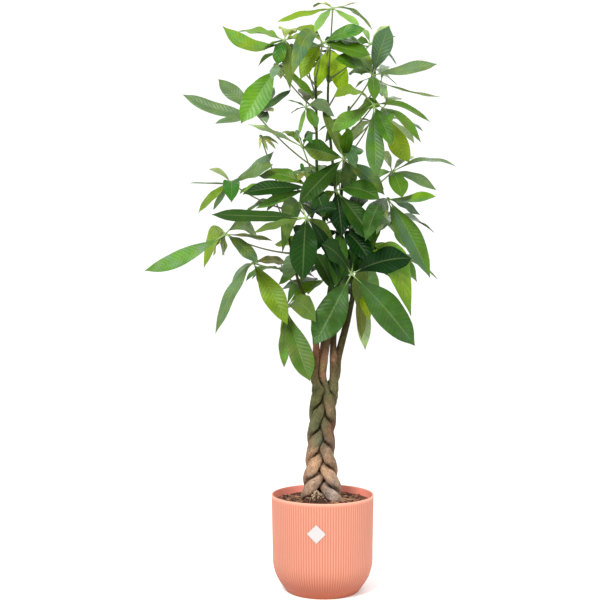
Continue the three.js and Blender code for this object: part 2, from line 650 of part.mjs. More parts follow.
// Midrib of a leaflet, the direction from edge to edge, which stays the same along it, and its length.
function leafletFrame(leaf, leaflet) {
  const root = hubPoint(leaf);
  const tip = fromView(...leaflet.view, leaflet.depth);
  const length = root.distanceTo(tip);
  const control = root.clone().lerp(tip, 0.5).addScaledVector(UP, 2 * leaflet.arch * length);
  const chord = tip.clone().sub(root).normalize();
  const upward = acrossRun(UP, chord);
  const frontward = acrossRun(TO_FRONT, chord).multiplyScalar(Math.sign(leaflet.face));
  const share = Math.abs(leaflet.face);
  const normal = upward.multiplyScalar(1 - share).addScaledVector(frontward, share).normalize();
  const side = new THREE.Vector3().crossVectors(normal, chord).normalize();
  // The width was measured as it shows from the front, and a blade that turns away is wider.
  const shown = Math.max(Math.hypot(side.x, side.z), 0.6);
  const width = Math.max(leaflet.width / shown, LEAST_SLENDERNESS * length);
  return { root, control, tip, normal, side, width };
}

// Three corners: the two edges, and the keel of the midrib under them.
function leafletSection({ root, control, tip, side, width }, t, widthShare, margin = 0) {
  const middle = bezier(root, control, tip, t);
  const run = bezierTangent(root, control, tip, t);
  const normal = new THREE.Vector3().crossVectors(run, side).normalize();
  const half = (widthShare ? (widthShare * width) / 2 : NECK.half) + margin;
  const thick = (widthShare ? BLADE_THICKNESS : NECK.thick) + 2 * margin;
  const upper = middle.clone().addScaledVector(normal, thick / 3 + margin / 3);
  return {
    left: upper.clone().addScaledVector(side, half),
    right: upper.clone().addScaledVector(side, -half),
    keel: upper.clone().addScaledVector(normal, -thick),
    middle,
  };
}

function leafletSolid(leaf, leaflet, margin = 0) {
  const points = [];
  const triangles = [];
  const sections = sectionsOf(leaflet);
  const frame = leafletFrame(leaf, leaflet);
  for (const [t, share] of sections) {
    const s = leafletSection(frame, t, share, margin);
    points.push(...[s.left, s.right, s.keel].map((p) => p.toArray()));
  }
  const outward = bezier(frame.root, frame.control, frame.tip, sections[0][0]).sub(frame.root).normalize();
  const root = points.push(frame.root.addScaledVector(outward, -LEAFLET_ROOT).toArray()) - 1;
  const tip = points.push(frame.tip.toArray()) - 1;
  const last = 3 * (sections.length - 1);
  for (let i = 0; i < 3; i++) {
    const j = (i + 1) % 3;
    for (let a = 0; a < last; a += 3) {
      const b = a + 3;
      triangles.push([a + i, a + j, b + j], [a + i, b + j, b + i]);
    }
    triangles.push([root, j, i], [last + i, last + j, tip]);
  }
  return solidOf(geometryOf(points, triangles));
}

function petiolePoint(leaf, t) {
  const [x, y] = alongCurve(stemPaths[leaf.stem], leaf.at);
  const root = new THREE.Vector3(x, y, leaf.at);
  const hub = hubPoint(leaf);
  const control = root.clone().lerp(hub, 0.5).addScaledVector(UP, -PETIOLE_BOW * root.distanceTo(hub));
  return { centre: bezier(root, control, hub, t), run: bezierTangent(root, control, hub, t) };
}

const PETIOLE_STEPS = [0, 0.25, 0.5, 0.75, 1];

function petioleSolid(leaf) {
  const points = [];
  const triangles = [];
  for (const t of PETIOLE_STEPS) {
    const { centre, run } = petiolePoint(leaf, t);
    const across = new THREE.Vector3().crossVectors(run, TO_FRONT).normalize();
    const other = new THREE.Vector3().crossVectors(across, run).normalize();
    for (const [a, b] of [[1, -0.58], [0, 1.15], [-1, -0.58]]) {
      const corner = centre.clone().addScaledVector(across, a * PETIOLE_RADIUS);
      points.push(corner.addScaledVector(other, b * PETIOLE_RADIUS).toArray());
    }
  }
  const rings = PETIOLE_STEPS.length;
  for (let k = 1; k < rings; k++) {
    for (let i = 0; i < 3; i++) {
      const j = (i + 1) % 3;
      const a = 3 * (k - 1);
      const b = 3 * k;
      triangles.push([a + i, b + j, a + j], [a + i, b + i, b + j]);
    }
  }
  const e = 3 * (rings - 1);
  triangles.push([0, 1, 2], [e, e + 2, e + 1]);
  return solidOf(geometryOf(points, triangles));
}

function hubSolid(leaf) {
  const hub = new THREE.OctahedronGeometry(HUB_RADIUS);
  hub.translate(...hubPoint(leaf).toArray());
  return solidOf(hub);
}

function leafSolid(leaf, cutters) {
  let solid = hubSolid(leaf).add(petioleSolid(leaf));
  for (const leaflet of leaf.leaflets) solid = solid.add(leafletSolid(leaf, leaflet));
  return solid.subtract(cutters[leaf.stem]);
}

// ---------------------------------------------------------------- clearing the leaves of each other

// Leaves that would touch are moved apart in depth only, along their lines of sight, so that the
// front view stays as it was measured. Each leaflet and petiole is a flat strip of triangles seen
// from the front; wherever two strips overlap there, one must lie in front of the other by a gap.
const DEPTH_GAP = 3.2;
const SETTLE_ROUNDS = 6;
const SETTLE_SWEEPS = 80;
const SETTLE_PUSH = 1.2;
const LEAST_SHARE = 0.02;
// Two petioles of one stem may meet at their roots, up to this share of their length.
const PETIOLE_ROOT_SHARE = 0.3;
const HUB_DEPTH_SHARE = 0.8;

function stripOf(rows, extra) {
  const vertices = rows.flat();
  const edges = [];
  const faces = [];
  let start = 0;
  rows.forEach((row, k) => {
    for (let i = 1; i < row.length; i++) edges.push([start + i - 1, start + i]);
    const next = rows[k + 1];
    if (next) {
      const after = start + row.length;
      if (next.length === 1) {
        for (let i = 0; i < row.length; i++) edges.push([start + i, after]);
        for (let i = 1; i < row.length; i++) faces.push([start + i - 1, start + i, after]);
      } else {
        for (let i = 0; i < row.length; i++) edges.push([start + i, after + i]);
        for (let i = 1; i < row.length; i++) {
          faces.push([start + i - 1, start + i, after + i], [start + i - 1, after + i, after + i - 1]);
          edges.push([start + i - 1, after + i]);
        }
      }
    }
    start += row.length;
  });
  const us = vertices.map((v) => v.u);
  const vs = vertices.map((v) => v.v);
  const box = [Math.min(...us), Math.max(...us), Math.min(...vs), Math.max(...vs)];
  return { vertices, edges, faces, box, ...extra };
}

// A strip's vertex: its place as seen from the front, its depth, and how much of the hub's and of the
// tip's move in depth it follows.
function stripVertex(point, hubShare, tipShare) {
  const [u, v] = toView(point);
  return { u, v, y: point.y, hubShare, tipShare };
}

function leafletStrip(leaf, leaflet, hubKey, tipKey) {
  const frame = leafletFrame(leaf, leaflet);
  const rows = sectionsOf(leaflet).map(([t, share]) => {
    const s = leafletSection(frame, t, share);
    return [s.left, s.middle, s.right].map((p) => stripVertex(p, 1 - t, t));
  });
  rows.push([stripVertex(frame.tip, 0, 1)]);
  const thick = BLADE_THICKNESS / 2 / Math.max(Math.abs(frame.normal.y), 0.15);
  return stripOf(rows, { leaf, hubKey, tipKey, thick, kind: 'leaflet' });
}

function petioleStrip(leaf, hubKey) {
  const rows = [0, 0.2, 0.4, 0.6, 0.8, 1].map((t) => {
    const { centre, run } = petiolePoint(leaf, t);
    const across = new THREE.Vector3(run.z, 0, -run.x).normalize().multiplyScalar(PETIOLE_RADIUS);
    return [centre.clone().add(across), centre.clone().sub(across)].map((p) => stripVertex(p, t, 0));
  });
  return stripOf(rows, { leaf, hubKey, tipKey: -1, thick: PETIOLE_RADIUS * 1.3, kind: 'petiole' });
}

function stemStrip(index) {
  const path = stemPaths[index];
  const top = path[path.length - 1][0];
  const rows = [];
  for (let z = BRAID_TOP; z < top + FREE_STATION; z += FREE_STATION) {
    const height = Math.min(z, top);
    const [x, y, radius] = alongCurve(path, height);
    rows.push([-radius, radius].map((dx) => stripVertex(new THREE.Vector3(x + dx, y, height), 0, 0)));
  }
  const [, , radius] = alongCurve(path, 700);
  return stripOf(rows, { leaf: null, stem: index, hubKey: -1, tipKey: -1, thick: radius + 1, kind: 'stem' });
}

function mixVertices(list, weights) {
  const mix = (key) => list.reduce((sum, v, i) => sum + v[key] * weights[i], 0);
  return { y: mix('y'), hubShare: mix('hubShare'), tipShare: mix('tipShare') };
}

// Places where two strips cross as seen from the front: [depth on a, depth on b] at each.
function crossings(a, b) {
  const found = [];
  for (const [a0, a1] of a.edges) {
    const p = a.vertices[a0];
    const q = a.vertices[a1];
    for (const [b0, b1] of b.edges) {
      const r = b.vertices[b0];
      const s = b.vertices[b1];
      const cross = (q.u - p.u) * (s.v - r.v) - (q.v - p.v) * (s.u - r.u);
      if (Math.abs(cross) < 1e-9) continue;
      const t = ((r.u - p.u) * (s.v - r.v) - (r.v - p.v) * (s.u - r.u)) / cross;
      const w = ((r.u - p.u) * (q.v - p.v) - (r.v - p.v) * (q.u - p.u)) / cross;
      if (t < 0 || t > 1 || w < 0 || w > 1) continue;
      found.push([mixVertices([p, q], [1 - t, t]), mixVertices([r, s], [1 - w, w])]);
    }
  }
  const inside = (point, strip) => {
    for (const face of strip.faces) {
      const [p, q, r] = face.map((i) => strip.vertices[i]);
      const area = (q.u - p.u) * (r.v - p.v) - (q.v - p.v) * (r.u - p.u);
      if (Math.abs(area) < 1e-6) continue;
      const wq = ((point.u - p.u) * (r.v - p.v) - (point.v - p.v) * (r.u - p.u)) / area;
      const wr = ((q.u - p.u) * (point.v - p.v) - (q.v - p.v) * (point.u - p.u)) / area;
      if (wq >= 0 && wr >= 0 && wq + wr <= 1) return mixVertices([p, q, r], [1 - wq - wr, wq, wr]);
    }
    return null;
  };
  for (const v of a.vertices) {
    const hit = inside(v, b);
    if (hit) found.push([v, hit]);
  }
  for (const v of b.vertices) {
    const hit = inside(v, a);
    if (hit) found.push([hit, v]);
  }
  return found;
}

function mayTouch(a, b) {
  if (a.kind === 'stem' && b.kind === 'stem') return false;
  if (a.leaf === b.leaf) return false;
  if (a.kind === 'stem' && b.kind === 'petiole' && b.leaf.stem === a.stem) return false;
  if (b.kind === 'stem' && a.kind === 'petiole' && a.leaf.stem === b.stem) return false;
  return a.box[0] < b.box[1] && b.box[0] < a.box[1] && a.box[2] < b.box[3] && b.box[2] < a.box[3];
}

function settleDepths() {
  const order = new Map();
  for (let round = 0; round < SETTLE_ROUNDS; round++) {
    const strips = stemPaths.map((path, i) => stemStrip(i));
    let key = 0;
    const keys = [];
    for (const leaf of leaves) {
      const hubKey = key++;
      keys.push([leaf, null]);
      strips.push(petioleStrip(leaf, hubKey));
      for (const leaflet of leaf.leaflets) {
        const tipKey = key++;
        keys.push([leaf, leaflet]);
        strips.push(leafletStrip(leaf, leaflet, hubKey, tipKey));
      }
    }
    const constraints = [];
    for (let i = 0; i < strips.length; i++) {
      for (let j = i + 1; j < strips.length; j++) {
        const a = strips[i];
        const b = strips[j];
        if (!mayTouch(a, b)) continue;
        const petioles = a.kind === 'petiole' && b.kind === 'petiole';
        const isFree = (v) => v.hubShare > PETIOLE_ROOT_SHARE;
        const found = crossings(a, b).filter(([p, q]) => !petioles || isFree(p) || isFree(q));
        if (!found.length) continue;
        const pair = i * strips.length + j;
        if (!order.has(pair)) {
          const lead = found.reduce((sum, [p, q]) => sum + p.y - q.y, 0);
          order.set(pair, lead > 0 ? 1 : -1);
        }
        const sign = order.get(pair);
        const gap = DEPTH_GAP + a.thick + b.thick;
        for (const [p, q] of found) {
          const terms = [
            [a.hubKey, p.hubShare], [a.tipKey, p.tipShare], [b.hubKey, -q.hubShare], [b.tipKey, -q.tipShare],
          ].filter(([k, w]) => k >= 0 && Math.abs(w) > LEAST_SHARE);
          const weight = terms.reduce((sum, [, w]) => sum + w * w, 0);
          if (weight > LEAST_SHARE) constraints.push({ terms, weight, sign, gap, y: p.y - q.y });
        }
      }
    }
    const move = new Float64Array(key);
    for (let sweep = 0; sweep < SETTLE_SWEEPS; sweep++) {
      const push = new Float64Array(key);
      const count = new Float64Array(key);
      for (const c of constraints) {
        let y = c.y;
        for (const [k, w] of c.terms) y += w * move[k];
        const lack = c.gap - c.sign * y;
        if (lack <= 0) continue;
        for (const [k, w] of c.terms) {
          push[k] += (c.sign * w * lack) / c.weight;
          count[k] += 1;
        }
      }
      for (let k = 0; k < key; k++) if (count[k]) move[k] += (SETTLE_PUSH * push[k]) / count[k];
      let hubKey = 0;
      keys.forEach(([leaf, leaflet], k) => {
        if (!leaflet) hubKey = k;
        const own = leaflet ? leaflet.depth : leaf.hubDepth;
        const hub = leaf.hubDepth + move[hubKey];
        const [low, high] = leaflet
          ? [Math.max(hub - leaflet.limit, -CROWN_DEPTH), Math.min(hub + leaflet.limit, CROWN_DEPTH)]
          : [-HUB_DEPTH_SHARE * CROWN_DEPTH, HUB_DEPTH_SHARE * CROWN_DEPTH];
        move[k] = THREE.MathUtils.clamp(own + move[k], low, high) - own;
      });
    }
    keys.forEach(([leaf, leaflet], k) => {
      if (leaflet) leaflet.depth += move[k];
      else leaf.hubDepth += move[k];
    });
  }
}

// What still touches after that is bent once more, leaflet by leaflet, by the least depth that frees it.
const BEND_MARGIN = 0.7;
const BEND_STEP = 5;
const BEND_STEPS = 18;
const BEND_ROUNDS = 3;

function overlapVolume(a, b) {
  const p = a.box;
  const q = b.box;
  if ([0, 1, 2].some((k) => p.max[k] < q.min[k] || q.max[k] < p.min[k])) return 0;
  const shared = a.solid.intersect(b.solid);
  const volume = shared.volume();
  shared.delete();
  return volume;
}

const boxed = (solid) => ({ solid, box: solid.boundingBox() });

function bendClear(solids) {
  const hubAndPetiole = (leaf) => boxed(petioleSolid(leaf).add(hubSolid(leaf)));
  const parts = leaves.map((leaf) => [
    hubAndPetiole(leaf),
    ...leaf.leaflets.map((leaflet) => boxed(leafletSolid(leaf, leaflet))),
  ]);
  const stems = solids.map(boxed);
  for (let round = 0; round < BEND_ROUNDS; round++) {
    leaves.forEach((leaf, i) => {
      const others = [...stems, ...parts.filter((part, j) => j !== i).flat()];
      leaf.leaflets.forEach((leaflet, k) => {
        const start = leaflet.depth;
        const isClear = (bend) => {
          leaflet.depth = start + bend;
          const trial = boxed(leafletSolid(leaf, leaflet, BEND_MARGIN));
          return others.every((other) => overlapVolume(trial, other) < 1e-4);
        };
        const bends = [0];
        for (let step = 1; step <= BEND_STEPS; step++) bends.push(step * BEND_STEP, -step * BEND_STEP);
        const reached = bends.find((bend) => isClear(bend));
        leaflet.depth = start + (reached ?? 0);
        if (reached) parts[i][k + 1] = boxed(leafletSolid(leaf, leaflet));
      });
    });
  }
}

// ---------------------------------------------------------------- the plant

const PLASTIC = { color: 0xf3a188, roughness: 0.55, metalness: 0 };
const WHITE = { color: 0xf6f4ef, roughness: 0.4, metalness: 0 };
const EARTH = { color: 0x3b2c21, roughness: 0.95, metalness: 0 };
const BARK = { color: 0x8a7560, roughness: 0.8, metalness: 0 };
const GREENS = [0x2f6b1f, 0x3f8a2a, 0x24541f, 0x4f9a35, 0x3a7430];

const group = new THREE.Group();

function addPiece(name, shape, material) {
  const geometry = shape.isBufferGeometry ? shape : geometryFromSolid(shape);
  geometry.computeVertexNormals();
  const mesh = new THREE.Mesh(geometry, new THREE.MeshStandardMaterial(material));
  mesh.name = name;
  group.add(mesh);
}

const stemSolids = stemPaths.map((path, i) => stemSolid(i));
const stemCutters = stemPaths.map((path, i) => stemSolid(i, GAP));

settleDepths();
bendClear(stemCutters);

addPiece('pot', potGeometry(), PLASTIC);
addPiece('label_plate', labelGeometry(), WHITE);
addPiece('soil', soilSolid(stemCutters), EARTH);
stemSolids.forEach((solid, i) => addPiece(`stem_${i + 1}`, solid, BARK));
leaves.forEach((leaf, i) => {
  const name = `leaf_${String(i + 1).padStart(2, '0')}`;
  const green = { color: GREENS[i % GREENS.length], roughness: 0.5, metalness: 0 };
  addPiece(name, leafSolid(leaf, stemCutters), green);
});

export default group;
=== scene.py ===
"""Potted money tree: the looks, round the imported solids. The plan is in millimetres, Blender in metres."""
import math

import bpy
import numpy as np
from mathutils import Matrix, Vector, noise


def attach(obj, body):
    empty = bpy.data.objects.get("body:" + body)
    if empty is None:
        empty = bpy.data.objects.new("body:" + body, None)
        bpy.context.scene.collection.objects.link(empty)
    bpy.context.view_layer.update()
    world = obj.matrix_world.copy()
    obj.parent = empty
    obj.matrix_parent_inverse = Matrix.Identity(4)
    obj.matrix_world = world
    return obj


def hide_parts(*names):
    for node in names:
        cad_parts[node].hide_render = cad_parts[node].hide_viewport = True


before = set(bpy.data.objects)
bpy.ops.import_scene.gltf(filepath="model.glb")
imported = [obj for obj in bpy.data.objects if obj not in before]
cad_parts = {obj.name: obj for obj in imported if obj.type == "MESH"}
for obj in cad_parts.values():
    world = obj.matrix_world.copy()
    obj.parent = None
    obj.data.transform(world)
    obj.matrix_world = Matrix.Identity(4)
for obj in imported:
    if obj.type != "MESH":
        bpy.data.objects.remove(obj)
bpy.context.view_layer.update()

MM = 0.001

# ---------------- sizes shared with the solids

POT_HEIGHT = 205
RIM_RADIUS = 110
WALL = 3
FLOOR = 5
RIB_COUNT = 120
RIB_DEPTH = 0.6
POT_OUTLINE = [(0, 78), (5, 82), (30, 99.6), (55, 107.2), (198, 109.9)]
LIP_ROUND = 1
LABEL = {"angle": -8, "z": 142.5, "half": 19.5, "thickness": 0.6}
SOIL_LEVEL = 190
SOIL_MOUND = 7
GAP = 0.3

BRAID_TOP = 430
FREE_FROM = 525
STEM_FOOT = 130
STEM_COUNT = 5
PLAIT_STATION = 12
PLAIT_CROSSING = 405
PLAIT_RATE = 0.0163
PLAIT_SLOWING = 2.15e-5
PLAIT_AXIS = [(200, -2), (250, -3), (300, -4), (360, -1), (430, 5)]
PLAIT_SIZE = [
    (130, 40, 26, 13), (200, 32, 23, 13.6), (240, 26, 20, 13.4), (300, 19, 18, 12.8), (430, 18.5, 17, 11.4),
]
STEM_PHASES = [4, 2, 1, 0, 3]
STEM_FREE = [
    [(455, -17, -14, 9.6), (492, -14.5, -12, 8.6), (521, -14, -9, 7.6), (565, -18, -5, 5.8),
     (610, -26, -3, 4), (630, -38, -4, 3.4), (662, -52, -5, 3.2), (705, -62, -6, 3), (750, -71, -6, 2.8),
     (800, -76, -6, 2.6), (832, -78, -6, 2.4)],
    [(455, -1, -13, 9.4), (492, 3, -15, 8.2), (535, 10, -17, 7), (575, 19, -18, 6), (630, 22, -16, 5),
     (700, 16, -13, 4.2), (790, 3, -10, 3.6), (880, -11, -8, 3.3), (980, -13, -7, 3), (1060, -14, -6, 2.8),
     (1100, -16, -5, 2.6)],
    [(463, 24, -4, 9), (510, 23, 0, 7.8), (544, 24, 4, 6.8), (620, 31, 8, 5.2), (720, 35, 12, 4.2),
     (840, 30, 14, 3.6), (940, 20, 12, 3.1), (1040, 12, 10, 2.7), (1130, 14, 8, 2.3)],
    [(458, 29, 13, 9.4), (492, 33, 14, 8.4), (535, 43, 11, 8), (591, 57, 5, 6.8), (638, 65, 0, 5.2),
     (695, 62, -2, 4), (770, 68, 0, 3.4), (830, 78, 3, 3), (860, 84, 4, 2.7)],
    [(470, -7, 18, 9), (510, 1, 25, 7.8), (560, 6, 31, 6.2), (640, 16, 36, 5), (740, 30, 40, 4.2),
     (850, 42, 38, 3.5), (930, 48, 34, 3.1), (1000, 54, 30, 2.8), (1045, 58, 28, 2.5)],
]


# Seen from the front, places in the crown lie on the plane through the pot's axis, and a place before
# or behind it slides along its line of sight to this eye point. How deep each lies is read from the solids.
EYE_X = -48.6
EYE_Z = 622
EYE_DISTANCE = 2120
SOLID_HUB_RADIUS = 5
LEAST_SLENDERNESS = 0.2
LEAFLET_ARCH = 0.1
PETIOLE_BOW = 0.1

# Light that a blade throws back as gloss, how brightly the studio lights it, and its darkest colour.
BLADE_VEIL = np.array([0.011, 0.013, 0.018])
BLADE_LIGHT = 1.7
DARKEST_BLADE = 0.0015

# Colours of the blades as they show, as sRGB: besides each blade's own green, they carry painted shade,
# painted sheen and painted light coming through.
TONES = {
    "x": (22, 56, 2),       # deepest, behind others
    "d": (37, 68, 12),      # deep, shaded
    "n": (46, 78, 38),      # deep with a slate sheen
    "m": (54, 92, 22),      # dark, well lit
    "j": (50, 106, 6),      # deep vivid
    "g": (72, 114, 20),     # green
    "i": (84, 132, 8),      # bright vivid
    "v": (106, 154, 24),    # vivid, light coming through
    "l": (162, 203, 16),    # lime, strong light coming through
    "q": (152, 178, 46),    # yellow-lime
    "a": (126, 160, 28),    # lime-olive
    "o": (108, 142, 26),    # ripe olive
    "w": (122, 132, 70),    # dull olive-brown
    "f": (92, 142, 60),     # fresh
    "e": (124, 170, 90),    # light, soft
    "s": (99, 129, 86),     # sage sheen
    "h": (116, 148, 112),   # grey-green sheen
    "u": (72, 106, 74),     # dark slate
    "b": (62, 100, 54),     # blue-green sheen
    "k": (91, 118, 54),     # olive, in shade
    "r": (146, 170, 118),   # pale and dull
    "p": (168, 196, 142),   # pale young blade
    "y": (216, 222, 152),   # yellowish shoot
}

# One row per leaf: stem, height of the petiole's root, hub (x, z), a tone for each leaflet (two letters where
# its colour and painted light are patchy, with a stroke between them where its halves differ in painted light
# and shade), and the leaflets: (x, z of the tip, width, facing, arch where it isn't the usual one), with
# facing as in the solids, 0 up and 10 frontward.
LEAVES = [
    # the topmost leaf and the crown of the left-hand shoot
    (3, 1128, (22, 1251), "a q e e p y", [
        (-98, 1221, 13, 5, 0.02), (-20, 1252, 14, 2), (-18, 1196, 18, 6, 0.08), (80, 1214, 16, 6, 0),
        (109, 1202, 9, 0, 0.18), (78, 1264, 9, 0, 0)]),
    (2, 1094, (0, 1176), "ij o ku m a g", [
        (92, 1207, 32, 7, 0.06), (-54, 1210, 30, 6), (-66, 1102, 36, 8, 0.4), (100, 1165, 36, 4),
        (-48, 1096, 32, 7), (104, 1150, 36, 6, 0)]),
    (3, 1080, (12, 1165), "l l m m d", [
        (-12, 1078, 30, -9, 0.05), (48, 1060, 40, -9), (70, 1150, 34, 4), (-60, 1150, 30, 4),
        (20, 1190, 24, 3)]),
    (2, 1084, (-82, 1182), "fo v i jg k o q", [
        (-216, 1213, 36, 6, -0.18), (-182, 1201, 26, 3, 0.03), (-128, 1158, 20, 3), (-98, 1128, 30, 8),
        (-70, 1074, 26, 8, 0.25), (-25, 1178, 26, 4), (-70, 1190, 20, 6)]),
    (2, 1030, (-97, 1125), "i/f g p v h", [
        (-176, 1002, 54, 9, 0.02), (-58, 1092, 24, 6, 0.05), (-90, 1098, 22, 3), (-14, 1056, 24, 6, 0.02),
        (-108, 1098, 20, 3)]),
    (2, 903, (-142, 1022), "s s s b h w h", [
        (-302, 1065, 32, 7, -0.07), (-225, 1098, 34, 8, 0), (-232, 1002, 20, 5, 0), (-68, 1075, 20, 4, 0),
        (-104, 1081, 16, 7, 0), (-106, 1028, 14, 3, 0.05), (-120, 1002, 20, 4)]),
    (2, 985, (-36, 1038), "f e g w k h", [
        (-79, 1053, 8, 2, 0.05), (-52, 975, 10, 6, 0), (-12, 992, 24, 8), (-22, 1053, 8, 2),
        (-70, 1022, 6, 2), (26, 1016, 30, 8, 0.2)]),
    (2, 868, (-43, 952), "p a g j f", [
        (-162, 1001, 14, 4, 0.03), (-88, 984, 13, 4), (-13, 979, 15, 4, 0.15), (-22, 958, 20, 7, 0.2),
        (-62, 968, 20, 7, 0.2)]),
    (1, 828, (-133, 975), "py p py p", [
        (-136, 946, 5, 7), (-118, 943, 6, 7), (-100, 946, 6, 7), (-94, 957, 5, 6)]),
    (1, 816, (-196, 873), "s r o s j h ks", [
        (-288, 874, 9, 2, 0), (-246, 904, 12, 4), (-268, 809, 17, 7), (-236, 815, 14, 7, 0.06),
        (-196, 832, 38, 7, 0.2), (-104, 943, 26, 6, -0.05), (-106, 914, 26, 6, 0.03)]),
    # the middle of the crown
    (2, 800, (-25, 862), "d gk f d d", [
        (-172, 851, 34, 6, 0.05), (-138, 889, 34, 6, 0.12), (-144, 819, 18, 6, 0.03), (5, 800, 36, 7, 0.2),
        (35, 872, 30, 6)]),
    (2, 735, (-36, 799), "n d x k km x k", [
        (-240, 806, 30, 5, 0), (-43, 661, 58, 9, 0.12), (40, 661, 26, 6, 0.12), (26, 706, 40, 7),
        (-87, 722, 44, 8, 0.35), (30, 818, 32, 4), (-150, 766, 18, 4, 0.03)]),
    (5, 872, (46, 926), "m/k g j u ku n bk k o", [
        (-42, 951, 46, 7, 0.02), (57, 993, 28, 8, 0), (84, 948, 34, 6, 0.05), (72, 904, 26, 6, 0.2),
        (134, 848, 36, 7, 0.06), (-52, 828, 44, 8, 0.03), (62, 846, 36, 7), (0, 1036, 18, 6, 0),
        (26, 992, 24, 7, 0)]),
    (3, 795, (29, 858), "m dn o x d", [
        (124, 838, 44, 6, 0.12), (115, 744, 46, 7, 0.02), (-14, 815, 28, 7), (42, 756, 42, 7),
        (30, 900, 24, 3)]),
    # right side
    (5, 1036, (108, 1107), "u s mg i g ea", [
        (143, 1213, 46, 8, 0.02), (248, 1131, 30, 6, 0), (26, 1141, 36, 6), (58, 1112, 36, 7),
        (112, 1050, 26, 6), (76, 1160, 30, 6, 0.05)]),
    (5, 1018, (126, 1092), "p p e h f", [
        (258, 1059, 9, 1, -0.04), (140, 1049, 13, 7, 0.02), (128, 1060, 26, 7, 0.05), (138, 1126, 20, 6),
        (70, 1078, 18, 3, 0.15)]),
    (3, 1100, (103, 1174), "p s g j e", [
        (146, 1214, 26, 7, 0), (158, 1190, 16, 4, 0.05), (62, 1172, 26, 6), (160, 1129, 20, 6, 0.12),
        (84, 1206, 14, 3)]),
    (5, 985, (110, 1043), "o kf gu gm gk", [
        (24, 1058, 28, 5, 0.2), (18, 984, 34, 7, 0.02), (115, 886, 38, 9, 0), (150, 952, 30, 8, 0.04),
        (232, 1005, 18, 5, 0.13)]),
    (5, 958, (130, 1035), "a ki v i v", [
        (187, 918, 44, 8, -0.08), (213, 960, 20, 7, 0.14), (74, 1018, 36, 7, 0.2), (146, 1002, 28, 7),
        (170, 1055, 24, 3)]),
    (4, 848, (150, 898), "s s g p e p", [
        (289, 909, 20, 3, 0.14), (246, 858, 24, 7, 0.08), (172, 842, 40, 7, 0.1), (126, 943, 22, 7),
        (96, 868, 24, 6), (200, 930, 20, 3)]),
    (4, 800, (141, 840), "f/v u u/g e p bn", [
        (245, 845, 30, 5, -0.02), (211, 805, 22, 6, 0.05), (232, 669, 44, 8, 0.06),
        (184, 730, 28, 8, -0.05), (116, 763, 28, 7), (92, 748, 34, 7, 0.12)]),
    # lower left
    (1, 722, (-209, 764), "hf a q ae kw ku o", [
        (-384, 685, 33, 7, -0.04), (-256, 690, 30, 7, 0.2), (-236, 716, 18, 6), (-134, 745, 20, 7, 0.16),
        (-106, 749, 12, 3, 0.02), (-138, 700, 28, 7, 0.05), (-216, 718, 24, 6, 0.05)]),
    (1, 688, (-150, 702), "s o w h k", [
        (-231, 549, 28, 5, 0.12), (-75, 568, 46, 8, 0.05), (-77, 702, 20, 6, 0.05), (-199, 642, 20, 6, 0.1),
        (-112, 620, 22, 7, 0.06)]),
    (1, 622, (-78, 606), "gk fk k v v e", [
        (-27, 447, 50, 8, -0.05), (-83, 476, 24, 7, 0), (-14, 574, 44, 8, 0.15), (2, 662, 18, 6),
        (-80, 528, 24, 7, 0.05), (-46, 668, 20, 6)]),
    # lower right
    (4, 690, (62, 678), "bn bm x d d", [
        (-18, 524, 64, 9, 0), (199, 523, 66, 8, 0.04), (194, 712, 54, 7, 0.07), (84, 770, 34, 5),
        (-2, 742, 44, 6)]),
    (4, 672, (82, 664), "w q pr m m", [
        (84, 538, 16, 4, 0.05), (101, 577, 28, 7), (92, 514, 30, 8, 0.05), (120, 690, 30, 7),
        (20, 640, 26, 6)]),
    # among the stems, in the shade of the leaves before them
    (3, 705, (42, 772), "x x h m x g", [
        (-62, 704, 40, 7), (104, 702, 44, 7), (146, 788, 36, 5), (28, 648, 40, 8), (96, 846, 34, 6),
        (-30, 836, 34, 6)]),
    (2, 652, (-22, 726), "s a n d g", [
        (-86, 670, 38, 6), (-104, 742, 30, 5), (24, 640, 36, 7), (-58, 784, 34, 5), (-95, 655, 26, 6, 0)]),
    (4, 742, (100, 748), "v j j h n", [
        (190, 700, 42, 6, 0), (152, 668, 36, 7), (72, 676, 40, 7), (150, 800, 34, 6), (70, 820, 34, 6)]),
    (4, 640, (96, 706), "oi k g x f", [
        (191, 586, 56, 7, 0.5), (72, 612, 32, 8), (110, 790, 38, 6), (34, 718, 30, 6), (112, 600, 34, 7)]),
    (2, 860, (-42, 896), "s j s w k", [
        (-68, 892, 11, 6), (-46, 917, 9, 7), (-21, 907, 11, 7), (-52, 879, 13, 7), (-26, 884, 11, 7)]),
]

# Leaves of the far side, made by rule: stem, petiole's height, hub (x, z), tones, leaflets' length.
FAR_LEAVES = [
    (3, 1040, (50, 1126), "gfmgsm", 112), (2, 1062, (-38, 1152), "gmvgms", 94),
    (5, 930, (104, 1008), "prmifj", 118), (5, 845, (34, 900), "mgjfg", 126),
    (4, 770, (108, 800), "mgbmib", 118), (4, 730, (100, 716), "gmgbjf", 132),
    (2, 770, (-58, 830), "mxmgbx", 100), (1, 780, (-112, 866), "gevbg", 84),
    (5, 700, (-6, 662), "mgjmd", 120), (1, 655, (-92, 690), "gmfgm", 84),
]
FAR_SEED = 100
FAR_DROOP = 0.28
FAR_WIDTH = 0.27
FAR_FACING = 2
FAR_ARCH = 0.14


# ---------------- small helpers

def make_random(seed):
    """The same even draws from 0 to 1 as the solids were made with."""
    state = seed & 0xFFFFFFFF

    def draw():
        nonlocal state
        state = (state + 0x6D2B79F5) & 0xFFFFFFFF
        t = ((state ^ (state >> 15)) * (1 | state)) & 0xFFFFFFFF
        t = ((t + ((t ^ (t >> 7)) * (61 | t))) & 0xFFFFFFFF) ^ t
        return ((t ^ (t >> 14)) & 0xFFFFFFFF) / 2 ** 32

    return draw


def vec(x, y, z):
    return np.array([x, y, z], float)


def unit(v):
    return v / np.linalg.norm(v, axis=-1, keepdims=True)


def across_run(wanted, run):
    """The direction nearest to a wanted one that is square to a run."""
    return unit(wanted - run * wanted.dot(run))


